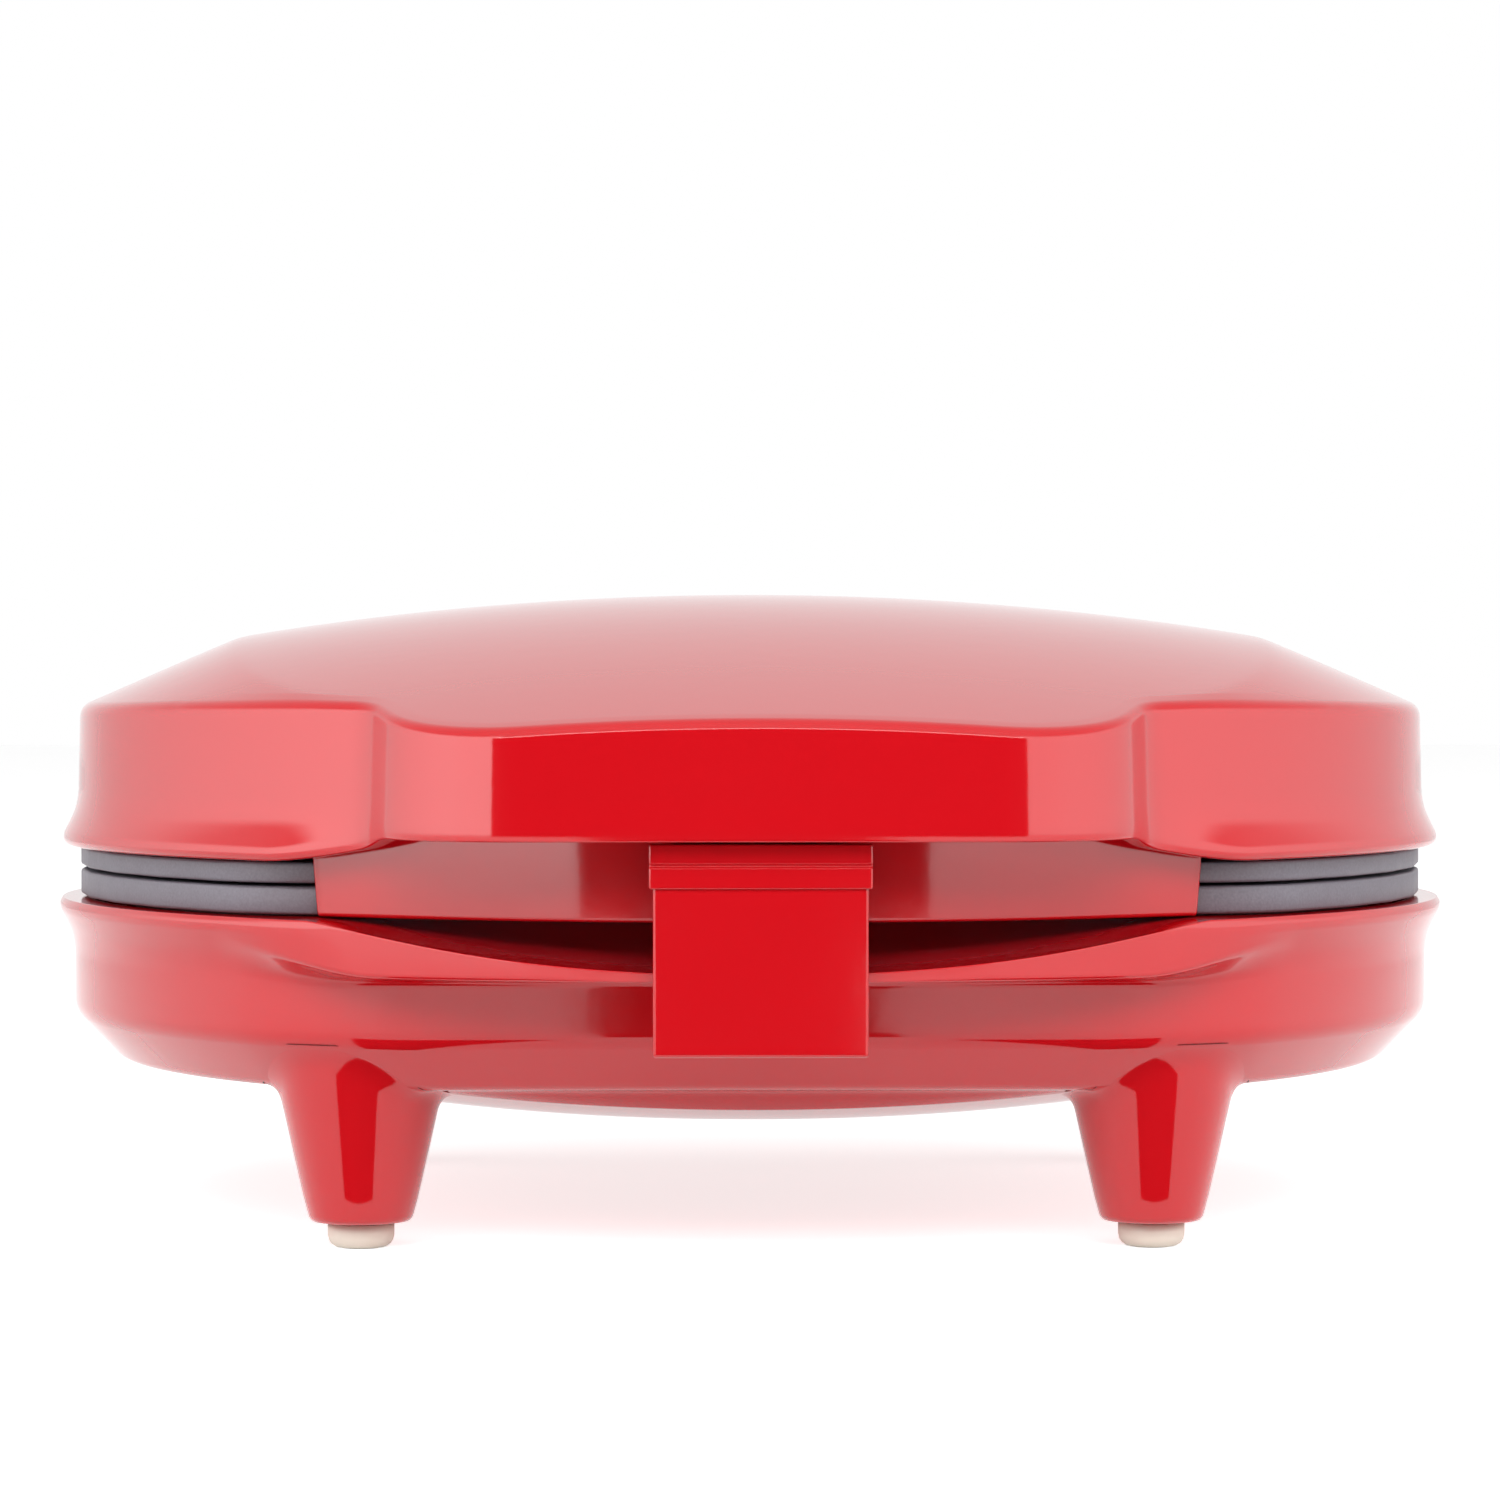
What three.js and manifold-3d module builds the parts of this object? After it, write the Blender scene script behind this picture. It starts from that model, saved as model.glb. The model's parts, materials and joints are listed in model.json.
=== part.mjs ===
// Countertop sandwich and waffle maker: a round-bodied clamshell with two waffle plates,
// hinged at the back and held shut by a clip that hangs under the lid's handle.
// Millimetres, +Z up, front towards -Y. The body is laid out round the axis of its round
// wall, and the finished group is moved so that the origin is under the middle of its box.
import * as THREE from "three";
import { mergeVertices } from "three/addons/utils/BufferGeometryUtils.js";
import Module from "manifold-3d";

const wasm = await Module();
wasm.setup();

// Driving sizes in plan: the base's round wall, and how far its flat front and back, the
// lid's wall and the plates' edges lie inside that circle or each other.
const baseRadius = 108.2;
const frontCut = 20.2;
const rearCut = 22.2;
const lidStep = 0.6;
const plateStep = 0.4;
const plateFrontStep = 8.5;
const plateRearStep = 0.8;
const frontCornerRadius = 40;
const rearCornerRadius = 30;
const openingCornerRadius = 20;
const wall = 2.4;

const baseFront = baseRadius - frontCut;
const rearFlat = baseRadius - rearCut;
const lidRadius = baseRadius - lidStep;
const plateRadius = lidRadius - plateStep;
const plateFront = baseFront - plateFrontStep;
const plateRear = rearFlat - plateRearStep;

// Clearances: between parts that rest on each other, and between parts that turn. Cuts
// run well past what they open (overrun) or just past it, as joints run into it (past).
const seatGap = 0.3;
const turnGap = 0.5;
const bearingGap = 0.1;
const overrun = 6;
const past = 1;

// Heights, counted up from the table.
const padHeight = 3.9;
const legHeight = 19.1;
const chamferHeight = 8.5;
const baseWallHeight = 17.9;
const lowerFlange = 4.1;
const seamGap = 0.5;
const upperFlange = 3.1;
const lidWallHeight = 21.8;
const crownRise = 17.8;

const bottomEdgeZ = padHeight + legHeight;
const wallFootZ = bottomEdgeZ + chamferHeight;
const baseMouthZ = wallFootZ + baseWallHeight;
const lowerFlangeZ = baseMouthZ + seatGap;
const lowerFaceZ = lowerFlangeZ + lowerFlange;
const upperFaceZ = lowerFaceZ + seamGap;
const upperFlangeZ = upperFaceZ + upperFlange;
const lidMouthZ = upperFlangeZ + seatGap;
const shoulderZ = lidMouthZ + lidWallHeight;
const crownZ = shoulderZ + crownRise;

// Rims that flare out round both mouths: reach and height at each step from the mouth.
const rimReach = 3.2;
const rimHeight = 7.2;
const rimShares = [[0.844, 0], [1, 0.1], [1, 0.24], [0.656, 0.46], [0.25, 0.72], [0, 1]];
const rimProfile = rimShares.map(([out, up]) => [rimReach * out, rimHeight * up]);

// The lid's crowned top: its radius across, and a bow from front to back that
// straightens as it falls away from the middle.
const crownRadiusAcross = 500;
const crownFall = 0.309;
const crownSoftness = 75;
const shoulderSlope = 0.43;
const shoulderRise = 1.3;
const edgeBreak = 1.5;
const wallDraft = 0.4;
const crownRingShares = [0.78, 0.55, 0.3];

// The base's belly and its front ledge, which the fingers and the clip take hold of. The
// ledge's underside is given by how far each row of the rim lies below the mouth.
const bottomInset = 7.2;
const bellyDrop = 7.3;
const bellyShares = [[0.955, 0.12], [0.74, 0.36], [0.53, 0.95], [0.38, 1]];
const bellyProfile = bellyShares.map(([size, down]) => [size, bellyDrop * down]);
const bellyFloorDrop = bellyProfile[2][1];
const ledgeBack = 2.7;
const ledgeRadius = 157;
const ledgeHalfWidth = 65;
const ledgeEndLength = 13;
const ledgeDip = 7;
const ledgeDipPower = 2.2;
const ledgeThickness = 1.3;
const ledgeDepth = 10;
const ledgeUnderShares = [1, 0.87, 0.83, 0.49, 0.19, 0];
const scoopLand = 3.7;
const scoopLift = 0.05;
const ledgeReach = baseRadius - ledgeBack;
const scoopStart = plateFront + seatGap;
const scoopDepth = ledgeReach - scoopStart - scoopLand;

// The lid's handle: a flat-fronted nose that grows out of the round wall. The clip hangs
// just in front of the ledge, and the nose covers the clip's head.
const clipAhead = 1.95;
const clipStep = 0.45;
const clipThickness = 2.1;
const noseAhead = 3;
const clipFront = ledgeReach + clipAhead + clipStep + clipThickness;
const handleFront = clipFront + noseAhead;
const handleHalfWidth = 48;
const handleSplay = 8.5;
const handleRootHalfWidth = handleHalfWidth + handleSplay;
const handleCornerRadius = 22;
const handleLift = 3.7;
const climbInset = 23.6;
const climbDepth = 14;
const climbMargin = 12;
const noseFlare = 0.12;

// Legs and their pads. The legs stand inside the round wall, each turned away from the
// X axis by its own angle, and widen up to where they run into the shell.
const legInset = 16.9;
const frontLegTurn = 50.06;
const rearLegTurn = 41.45;
const legFootRadius = 7.7;
const legRootRadius = 13;
const legShares = [[0, 0], [0.34, 0.47], [0.62, 0.81], [0.85, 1.015], [1, 1.36]];
const legProfile = legShares.map(([out, up]) =>
  [legFootRadius + (legRootRadius - legFootRadius) * out, legHeight * up]);
const legWall = 2.4;
const legSole = 4.5;
const padRadius = 4.95;
const padStemRadius = 2.6;
const padStemLength = 3.6;
const padRound = 1.1;

// Plates: flange, pan and waffle grid.
const plateCornerRadius = 25;
const panInset = 8;
const panDepth = 11;
const cellDepth = 8;
const cellInset = 5;
const landHalfWidth = 5.5;
const pegPitch = 16.6;
const pegFoot = 11.6;
const pegTop = 8.4;
const pegHeight = 5.9;
const pegMargin = 1.5;

// Screws that draw plate and heat shield down on the shell's posts.
const screwInset = 55.2;
const screwX = plateRadius - screwInset;
const screwRadius = 2;
const screwHeadRadius = 3.6;
const screwHeadHeight = 2.2;
const screwSink = 0.4;
const screwClearance = 0.3;
const slotWidth = 1;
const slotDepth = 1.1;
const screwTopShare = 0.8;
const bossRadius = 5;
const bossLength = 7;
const postRadius = 5;
const threadGrip = 9;

// Heat shields and tubular elements.
const shieldThickness = 0.8;
const shieldInset = 3;
const shieldEdge = 6;
const elementRadius = 3.2;
const elementSideInset = 39.2;
const elementFrontInset = 29.5;
const elementTailInset = 19.2;
const elementHalfWidth = plateRadius - elementSideInset;
const elementHalfDepth = plateFront - elementFrontInset;
const elementTailY = plateRear - elementTailInset;
const elementCorner = 24;
const elementTailX = 15;
const tailSlotMargin = 2;
const terminalRadius = 1.3;
const terminalLength = 10;

// Handle liner: floor, curved skirt and rear deck under the lid's handle.
const skirtRadius = 115.8;
const skirtBehind = 9;
const skirtFront = clipFront - skirtBehind;
const skirtThickness = 2.2;
const skirtDrop = 8.1;
const linerHalfWidthTop = 62.6;
const linerHalfWidthFoot = 60.6;
const linerFloor = 2;
const linerFloorRise = 1.4;
const deckSetback = 0.6;
const deckBack = plateFront + deckSetback;
const linerScrewX = 27;
const linerScrewInset = 7.2;
const linerScrewY = linerScrewInset - handleFront;
const linerScrewRadius = 1.4;
const linerScrewHead = 2.5;
const linerScrewHeadHeight = 1.1;
const linerScrewLength = 9;
const linerPostRadius = 2.9;

// Clip, its pin, and the lug on the skirt that holds the pin.
const clipHeadWidth = 31.8;
const clipHeadDrop = 6.8;
const clipPanelWidth = 29.8;
const clipCheek = 2.4;
const clipLength = 30.15;
const clipGroove = 0.5;
const clipTopGap = 0.25;
const clipPinBelow = 3.3;
const clipPinBehind = 4.5;
const clipPinRadius = 1.1;
const clipLugRadius = 2.2;
const hookReach = 4.6;
const hookHeight = 2.6;
const hookSlope = 1.56;
const hookHalfWidth = 10;
const hookGap = 0.35;

// Hinge: two clevises on the base and two knuckles on the lid, each with its own pin.
const hingeBehind = 12;
const knuckleRadius = 5.4;
const knuckleWidth = 10;
const earThickness = 4;
const hingeX = 46;
const hingePinRadius = 2;
const hingePinHead = 3.2;
const hingePinHeadHeight = 1.2;
const earFootDrop = 16;
const armRise = 13;

// Controls inside the lid, and what is wired inside the base.
const thermostatX = 26;
const thermostatY = 30;
const thermostatProfile = [[10, 0], [10, 1.4], [8.2, 1.4], [8.2, 7.6], [4, 8.6]];
const bladeSize = [5, 0.8, 6];
const bladeSpread = 5;
const fuseRadius = 2.1;
const fuseLength = 22;
const fuseLeadRadius = 0.6;
const fuseLeadLength = 10;
const blockSize = [30, 14, 9];
const blockPitch = 10;
const blockWireBore = 1.6;
const blockSetback = 4.76;
const bushX = 0;
const bushRise = 5.1;
const bushZ = wallFootZ + bushRise;
const bushFlangeRadius = 5.6;
const bushFlangeDepth = 2.4;
const bushShankRadius = 4.2;
const bushShankLength = 9;
const bushBore = 2.4;

// Facet counts.
const arcSteps = 10;
const cornerSteps = 4;
const flankSteps = 5;
const noseSteps = 2;
const skirtSteps = 32;
const roundSides = 16;
const pinSides = 12;
const tubeSides = 8;
const bendSteps = 4;

const axleY = rearFlat + hingeBehind;
const axleZ = (lowerFaceZ + upperFaceZ) / 2;

// Turns a closed geometry into a solid for joining and cutting, and a solid into a node.
function solidOf(geometry) {
  const bare = new THREE.BufferGeometry();
  bare.setAttribute("position", geometry.getAttribute("position"));
  if (geometry.index) bare.setIndex(geometry.index);
  const merged = mergeVertices(bare, 1e-4);
  return new wasm.Manifold(new wasm.Mesh({
    numProp: 3,
    vertProperties: new Float32Array(merged.attributes.position.array),
    triVerts: new Uint32Array(merged.index.array),
  }));
}

function geometryOf(solid) {
  const mesh = solid.getMesh();
  const geometry = new THREE.BufferGeometry();
  geometry.setAttribute("position", new THREE.BufferAttribute(mesh.vertProperties, 3));
  geometry.setIndex(new THREE.BufferAttribute(mesh.triVerts, 1));
  geometry.computeVertexNormals();
  return geometry;
}

const join = (first, ...rest) => rest.reduce((sum, next) => sum.add(next), first);
const cut = (first, ...rest) => rest.reduce((left, next) => left.subtract(next), first);
const sides = [-1, 1];

// Points along an arc from angle a to angle b, in radians, ends included.
function arc(cx, cy, radius, a, b, steps) {
  return Array.from({ length: steps + 1 }, (unused, i) => {
    const angle = a + ((b - a) * i) / steps;
    return new THREE.Vector2(cx + radius * Math.cos(angle), cy + radius * Math.sin(angle));
  });
}

// Where a corner round sits that touches the circle from inside and the line y = -flat.
function cornerCentre(radius, flat, corner) {
  const deep = flat - corner;
  return new THREE.Vector2(Math.sqrt((radius - corner) ** 2 - deep ** 2), -deep);
}

// Adds the mirror image in X to a half outline that runs from the front middle to the
// rear middle, which makes a full loop that runs anticlockwise seen from above.
function mirrored(half) {
  const other = half.slice(1, -1).reverse().map((p) => new THREE.Vector2(-p.x, p.y));
  return [...half, ...other];
}

// A circle with a flat front and a flat back, and rounds between.
function bodyOutline(radius, front, back, frontCorner, backCorner, steps = arcSteps) {
  const f = cornerCentre(radius, front, frontCorner);
  const b = cornerCentre(radius, back, backCorner);
  const frontTurn = Math.atan2(f.y, f.x);
  const backTurn = Math.atan2(-b.y, b.x);
  return mirrored([
    new THREE.Vector2(0, -front),
    new THREE.Vector2(f.x / 2, -front),
    ...arc(f.x, f.y, frontCorner, -Math.PI / 2, frontTurn, cornerSteps),
    ...arc(0, 0, radius, frontTurn, backTurn, steps).slice(1, -1),
    ...arc(b.x, -b.y, backCorner, backTurn, Math.PI / 2, cornerSteps),
    new THREE.Vector2(0, back),
  ]);
}

// The lid in plan: the round wall, the handle's flanks, and its flat nose with a large
// round at each corner.
function lidOutline() {
  const b = cornerCentre(lidRadius, rearFlat, rearCornerRadius);
  const rootY = -Math.sqrt(lidRadius ** 2 - handleRootHalfWidth ** 2);
  const rootTurn = Math.atan2(rootY, handleRootHalfWidth);
  const backTurn = Math.atan2(-b.y, b.x);
  const nose = new THREE.Vector2(handleHalfWidth, -handleFront);
  const root = new THREE.Vector2(handleRootHalfWidth, rootY);
  const turn = root.clone().sub(nose).angle();
  const faceEnd = handleHalfWidth - handleCornerRadius * Math.tan(turn / 2);
  const face = Array.from({ length: noseSteps }, (unused, i) =>
    new THREE.Vector2((faceEnd * i) / noseSteps, -handleFront));
  const corner = arc(faceEnd, handleCornerRadius - handleFront, handleCornerRadius,
    -Math.PI / 2, turn - Math.PI / 2, flankSteps);
  const half = [
    ...face,
    ...corner,
    ...arc(0, 0, lidRadius, rootTurn, backTurn, arcSteps + 1).slice(0, -1),
    ...arc(b.x, -b.y, rearCornerRadius, backTurn, Math.PI / 2, cornerSteps),
    new THREE.Vector2(0, rearFlat),
  ];
  return mirrored(half);
}

const smooth = (t) => {
  const s = Math.min(1, Math.max(0, t));
  return s * s * (3 - 2 * s);
};

// How far the mouth has climbed at a point, from 0 a little behind the handle's root to
// 1 near the nose.
function noseShare(p) {
  if (Math.abs(p.x) > handleRootHalfWidth + climbMargin) return 0;
  return smooth((climbInset - lidRadius - p.y) / climbDepth);
}

// Outward normal at each point of an anticlockwise outline, lengthened at corners so
// that moving along it keeps the sides parallel.
function normalsOf(outline) {
  return outline.map((p, i) => {
    const before = outline[(i + outline.length - 1) % outline.length];
    const after = outline[(i + 1) % outline.length];
    const a = new THREE.Vector2(p.y - before.y, before.x - p.x).normalize();
    const b = new THREE.Vector2(after.y - p.y, p.x - after.x).normalize();
    const sum = a.add(b);
    return sum.multiplyScalar(2 / sum.lengthSq());
  });
}

// An outline moved outwards by a distance, which is a number or is worked out for each
// point.
function grown(outline, distance) {
  const normals = normalsOf(outline);
  const distanceAt = typeof distance === "function" ? distance : () => distance;
  return outline.map((p, i) => p.clone().addScaledVector(normals[i], distanceAt(p, i)));
}

const scaled = (outline, factor) => outline.map((p) => p.clone().multiplyScalar(factor));

// An outline lifted to a height, which is a number or is worked out for each point.
const ring = (outline, height) => outline.map((p, i) =>
  new THREE.Vector3(p.x, p.y, typeof height === "function" ? height(p, i) : height));

// A closed solid through rings of equal point count, listed upwards or with the inside
// on the left of the sweep, and closed by a fan at each end, the last one about the tip.
function loft(rings, tip = null) {
  const count = rings[0].length;
  const points = rings.flat();
  const middle = (loop) =>
    loop.reduce((sum, p) => sum.add(p), new THREE.Vector3()).divideScalar(loop.length);
  const start = points.push(middle(rings[0])) - 1;
  const end = points.push(tip || middle(rings[rings.length - 1])) - 1;
  const faces = [];
  for (let i = 0; i < count; i++) {
    const next = (i + 1) % count;
    faces.push(start, next, i);
    for (let k = 0; k + 1 < rings.length; k++) {
      const low = k * count;
      const high = low + count;
      faces.push(low + i, low + next, high + next, low + i, high + next, high + i);
    }
    const last = (rings.length - 1) * count;
    faces.push(last + i, last + next, end);
  }
  const geometry = new THREE.BufferGeometry().setFromPoints(points);
  geometry.setIndex(faces);
  return solidOf(geometry);
}

const prism = (outline, low, high) => loft([ring(outline, low), ring(outline, high)]);

function block(x0, x1, y0, y1, z0, z1) {
  const box = new THREE.BoxGeometry(x1 - x0, y1 - y0, z1 - z0);
  return solidOf(box.translate((x0 + x1) / 2, (y0 + y1) / 2, (z0 + z1) / 2));
}

// An upright cylinder, and one that lies along X or along Y.
function post(x, y, low, high, radius, count = roundSides) {
  const shape = new THREE.CylinderGeometry(radius, radius, high - low, count);
  return solidOf(shape.rotateX(Math.PI / 2).translate(x, y, (low + high) / 2));
}

function bar(x0, x1, y, z, radius, count = roundSides) {
  const shape = new THREE.CylinderGeometry(radius, radius, x1 - x0, count);
  return solidOf(shape.rotateZ(Math.PI / 2).translate((x0 + x1) / 2, y, z));
}

function rod(x, y0, y1, z, radius, count = roundSides) {
  const shape = new THREE.CylinderGeometry(radius, radius, y1 - y0, count);
  return solidOf(shape.translate(x, (y0 + y1) / 2, z));
}

// A round piece from [radius, height] pairs, turned about an upright axis and closed
// down its middle unless its profile starts away from the axis.
function turned(profile, x, y, z, count = roundSides) {
  const points = [[0, profile[0][1]], ...profile, [0, profile[profile.length - 1][1]]];
  const shape = new THREE.LatheGeometry(points.map(([r, h]) => new THREE.Vector2(r, h)), count);
  return solidOf(shape.rotateX(Math.PI / 2).translate(x, y, z));
}

// A side view of [y, z] pairs carried along X.
function carried(pairs, x0, x1) {
  const shape = new THREE.Shape(pairs.map(([y, z]) => new THREE.Vector2(y, z)));
  const body = new THREE.ExtrudeGeometry(shape, { depth: x1 - x0, bevelEnabled: false });
  const place = new THREE.Matrix4().makeBasis(
    new THREE.Vector3(0, 1, 0), new THREE.Vector3(0, 0, 1), new THREE.Vector3(1, 0, 0));
  return solidOf(body.applyMatrix4(place).translate(x0, 0, 0));
}

// A tube along a path of points, of constant radius, with flat ends.
function tube(path, radius, count = tubeSides) {
  const rings = path.map((p, i) => {
    const ahead = path[Math.min(i + 1, path.length - 1)].clone().sub(path[Math.max(i - 1, 0)]);
    const side = new THREE.Vector3(-ahead.y, ahead.x, 0).normalize();
    const up = new THREE.Vector3(0, 0, 1);
    return Array.from({ length: count }, (unused, k) => {
      const angle = (2 * Math.PI * k) / count;
      return p.clone().addScaledVector(side, radius * Math.cos(angle))
        .addScaledVector(up, radius * Math.sin(angle));
    });
  });
  return loft(rings);
}

// Shared surfaces.
const crownBow = (y) => crownFall * (Math.hypot(y, crownSoftness) - crownSoftness);
const crownAt = (p) => crownZ - p.x ** 2 / (2 * crownRadiusAcross) - crownBow(p.y);
const shoulderAt = (p) => shoulderZ + shoulderRise * Math.min(1, (p.y / rearFlat) ** 2);

// How far in from each point of the lid's wall the sloping shoulder meets the crown.
function shoulderWidths(plan, share, normals) {
  return plan.map((p, i) => {
    const gapAt = (w) => crownAt(p.clone().addScaledVector(normals[i], -w))
      - shoulderAt(p) - shoulderSlope * w;
    let near = 0;
    let far = lidRadius / 2;
    for (let turn = 0; turn < roundSides; turn++) {
      const middle = (near + far) / 2;
      if (gapAt(middle) > 0) near = middle;
      else far = middle;
    }
    return Math.max(edgeBreak, near * (1 - share[i]));
  });
}

// The lid as a closed form, moved in by a wall thickness when it is the inside.
function lidForm(inset) {
  const plan = lidOutline();
  const share = plan.map(noseShare);
  const normals = normalsOf(plan);
  const widths = shoulderWidths(plan, share, normals);
  const mouth = (i) => lidMouthZ + handleLift * share[i];
  const flare = (i) => 1 - (1 - noseFlare) * smooth(3 * share[i]);
  const wallTop = (p, i) => Math.min(shoulderAt(plan[i]), crownAt(plan[i]) - edgeBreak / 3);
  const top = (p) => crownAt(p) - inset;
  const crest = grown(plan, (p, i) => -widths[i] - inset * (share[i] > 0 ? 1 : 0.5));
  const rims = rimProfile.map(([reach, rise]) =>
    ring(grown(plan, (p, i) => reach * flare(i)), (p, i) => mouth(i) + rise));
  const inner = [
    ring(grown(plan, -inset), lidMouthZ - overrun),
    ring(grown(plan, -inset), lidMouthZ + overrun + handleLift),
  ];
  return loft([
    ...(inset ? inner : rims),
    ring(grown(plan, -inset - wallDraft), (p, i) => wallTop(p, i) - edgeBreak - inset / 2),
    ring(grown(plan, -inset - wallDraft - edgeBreak / 4), (p, i) => wallTop(p, i) - inset / 2),
    ring(crest, top),
    ...crownRingShares.map((factor) => ring(scaled(crest, factor), top)),
  ], new THREE.Vector3(0, 0, crownZ - inset));
}

// The base in plan, and the same with the front pushed out to the ledge's edge.
const basePlan = () =>
  bodyOutline(baseRadius, baseFront, rearFlat, frontCornerRadius, rearCornerRadius);
const ledgeY = (x) => ledgeRadius - ledgeReach - Math.sqrt(ledgeRadius ** 2 - x ** 2);
const ledgeShare = (x) => smooth((ledgeHalfWidth - Math.abs(x)) / ledgeEndLength);

function ledged(outline, share) {
  return outline.map((p) => {
    if (p.y > 0 || Math.abs(p.x) > ledgeHalfWidth) return p.clone();
    const out = Math.min(p.y, ledgeY(p.x));
    return new THREE.Vector2(p.x, p.y + (out - p.y) * share);
  });
}

// Height of the scooped deck in front of the plates, and of the ledge's top edge.
function scoopAt(p) {
  const across = Math.min(1, Math.abs(p.x) / ledgeHalfWidth) ** ledgeDipPower;
  const run = Math.min(1, Math.max(0, (-scoopStart - p.y) / scoopDepth));
  return baseMouthZ + scoopLift - ledgeDip * (1 - across) * (1 - (1 - run) ** 2);
}

// The base as a closed form, moved in by a wall thickness when it is the inside.
function baseForm(inset) {
  const plan = basePlan();
  const foot = bellyProfile.map(([factor, drop]) =>
    ring(scaled(grown(plan, -bottomInset), factor), bottomEdgeZ - drop + inset)).reverse();
  const below = [
    ...foot,
    ring(grown(plan, -bottomInset - inset), bottomEdgeZ + inset / 2),
    ring(grown(plan, -wallDraft - inset), wallFootZ - edgeBreak / 2 + inset / 4),
    ring(grown(plan, -inset), wallFootZ + edgeBreak),
  ];
  if (inset) {
    const opening = bodyOutline(baseRadius - inset, plateFront - inset - seatGap,
      rearFlat - inset, openingCornerRadius, rearCornerRadius);
    return loft([
      ...below,
      ring(grown(plan, -inset), baseMouthZ - rimProfile[5][1] - rimProfile[4][1]),
      ring(opening, baseMouthZ - inset),
      ring(opening, baseMouthZ + overrun),
    ]);
  }
  const rims = [...rimProfile].reverse().map(([reach, drop], k) => {
    const out = ledged(grown(plan, reach), smooth(k / 2));
    const height = (p) => {
      const share = p.y < 0 ? ledgeShare(p.x) : 0;
      return baseMouthZ - drop * (1 - share) - ledgeDepth * ledgeUnderShares[k] * share;
    };
    return ring(out, height);
  });
  return loft([...below, ...rims]);
}

// Everything in front of the plates and above the scooped deck, to be cut away.
function scoop() {
  const steps = pinSides;
  const reach = ledgeHalfWidth;
  const rows = [...Array(tubeSides).keys()].map((k) =>
    -scoopStart - (scoopDepth * k) / (tubeSides - 1)).concat([-handleFront - overrun]);
  const columns = [...Array(steps + 1).keys()].map((k) => -reach + (2 * reach * k) / steps);
  const section = (x) => [
    ...rows.map((y) => new THREE.Vector3(x, y, scoopAt(new THREE.Vector2(x, y)))),
    new THREE.Vector3(x, rows[rows.length - 1], baseMouthZ + overrun),
    new THREE.Vector3(x, rows[0], baseMouthZ + overrun),
  ];
  return loft(columns.map((x) => section(x).reverse()));
}

// A slotted screw whose head's outer face is at the given height. It points down, or up
// where its direction is -1.
function screw(x, y, top, length, shank, head, headHeight, direction = 1) {
  const body = turned([
    [shank / 2, -length], [shank, -length + shank], [shank, -headHeight],
    [head, -headHeight], [head, -headHeight / 3], [head * screwTopShare, 0],
  ], 0, 0, 0, pinSides);
  const deep = slotDepth * (headHeight / screwHeadHeight);
  const slot = block(-head, head, -slotWidth / 2, slotWidth / 2, -deep, overrun);
  const whole = cut(body, slot);
  return (direction > 0 ? whole : whole.rotate([180, 0, 0])).translate([x, y, top]);
}

// The base shell: belly, wall and ledge, hollow legs, screw posts and hinge ears.
const legs = sides.flatMap((s) => [-frontLegTurn, rearLegTurn].map((turn) => {
  const angle = THREE.MathUtils.degToRad(turn);
  const out = baseRadius - legInset;
  return [s * out * Math.cos(angle), out * Math.sin(angle)];
}));

function baseShell() {
  const solids = legs.map(([x, y]) => turned(legProfile, x, y, padHeight));
  const outer = join(cut(baseForm(0), scoop()), ...solids);
  const inner = baseForm(wall);
  const hollows = legs.map(([x, y]) => turned([
    [legProfile[0][0] - legWall, legSole], [legProfile[2][0] - legWall, legProfile[2][1]],
    [legProfile[3][0] - legWall, legProfile[4][1] + past],
  ], x, y, padHeight, pinSides));
  const sockets = legs.map(([x, y]) =>
    post(x, y, 0, padHeight + padStemLength + seatGap, padStemRadius + seatGap, pinSides));
  const threadFoot = lowerPostTop - threadGrip - past;
  const posts = sides.map((s) => cut(
    post(s * screwX, 0, bottomEdgeZ - bellyFloorDrop + wall / 2, lowerPostTop, postRadius),
    post(s * screwX, 0, threadFoot, lowerPostTop + past, screwRadius + seatGap, pinSides)));
  const bushHole = rod(bushX, rearFlat - overrun, rearFlat + overrun, bushZ,
    bushShankRadius + seatGap);
  const shell = cut(outer, inner, ...hollows, ...sockets, bushHole);
  const shelled = join(shell, ...posts, ...clevises());
  const pinBore = bar(-baseRadius, baseRadius, axleY, axleZ, hingePinRadius + bearingGap, pinSides);
  return cut(shelled, pinBore);
}

const panUnderZ = lowerFaceZ - panDepth;
const lowerBossEnd = panUnderZ - bossLength;
const lowerShieldTop = lowerBossEnd - seatGap;
const lowerPostTop = lowerShieldTop - shieldThickness - seatGap;

// Two ears to each hinge, standing on the rear wall.
function clevises() {
  const round = arc(axleY, axleZ, knuckleRadius, -Math.PI / 3, Math.PI * 0.75, cornerSteps * 2);
  const ear = [
    [rearFlat - wall / 2, baseMouthZ - earFootDrop],
    ...round.map((p) => [p.x, p.y]),
    [rearFlat + wall, baseMouthZ - past],
    [rearFlat - wall / 2, baseMouthZ - wall],
  ];
  return sides.flatMap((s) => sides.map((t) => {
    const middle = s * hingeX + t * (knuckleWidth / 2 + turnGap + earThickness / 2);
    return carried(ear, middle - earThickness / 2, middle + earThickness / 2);
  }));
}

// The lid shell: crown, wall and handle, screw posts and the hinge's knuckles.
const upperPanTop = upperFaceZ + panDepth;
const upperBossEnd = upperPanTop + bossLength;
const upperShieldUnder = upperBossEnd + seatGap;
const upperPostEnd = upperShieldUnder + shieldThickness + seatGap;
const floorFootZ = lidMouthZ + handleLift + linerFloorRise;
const floorTopZ = floorFootZ + linerFloor;

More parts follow.
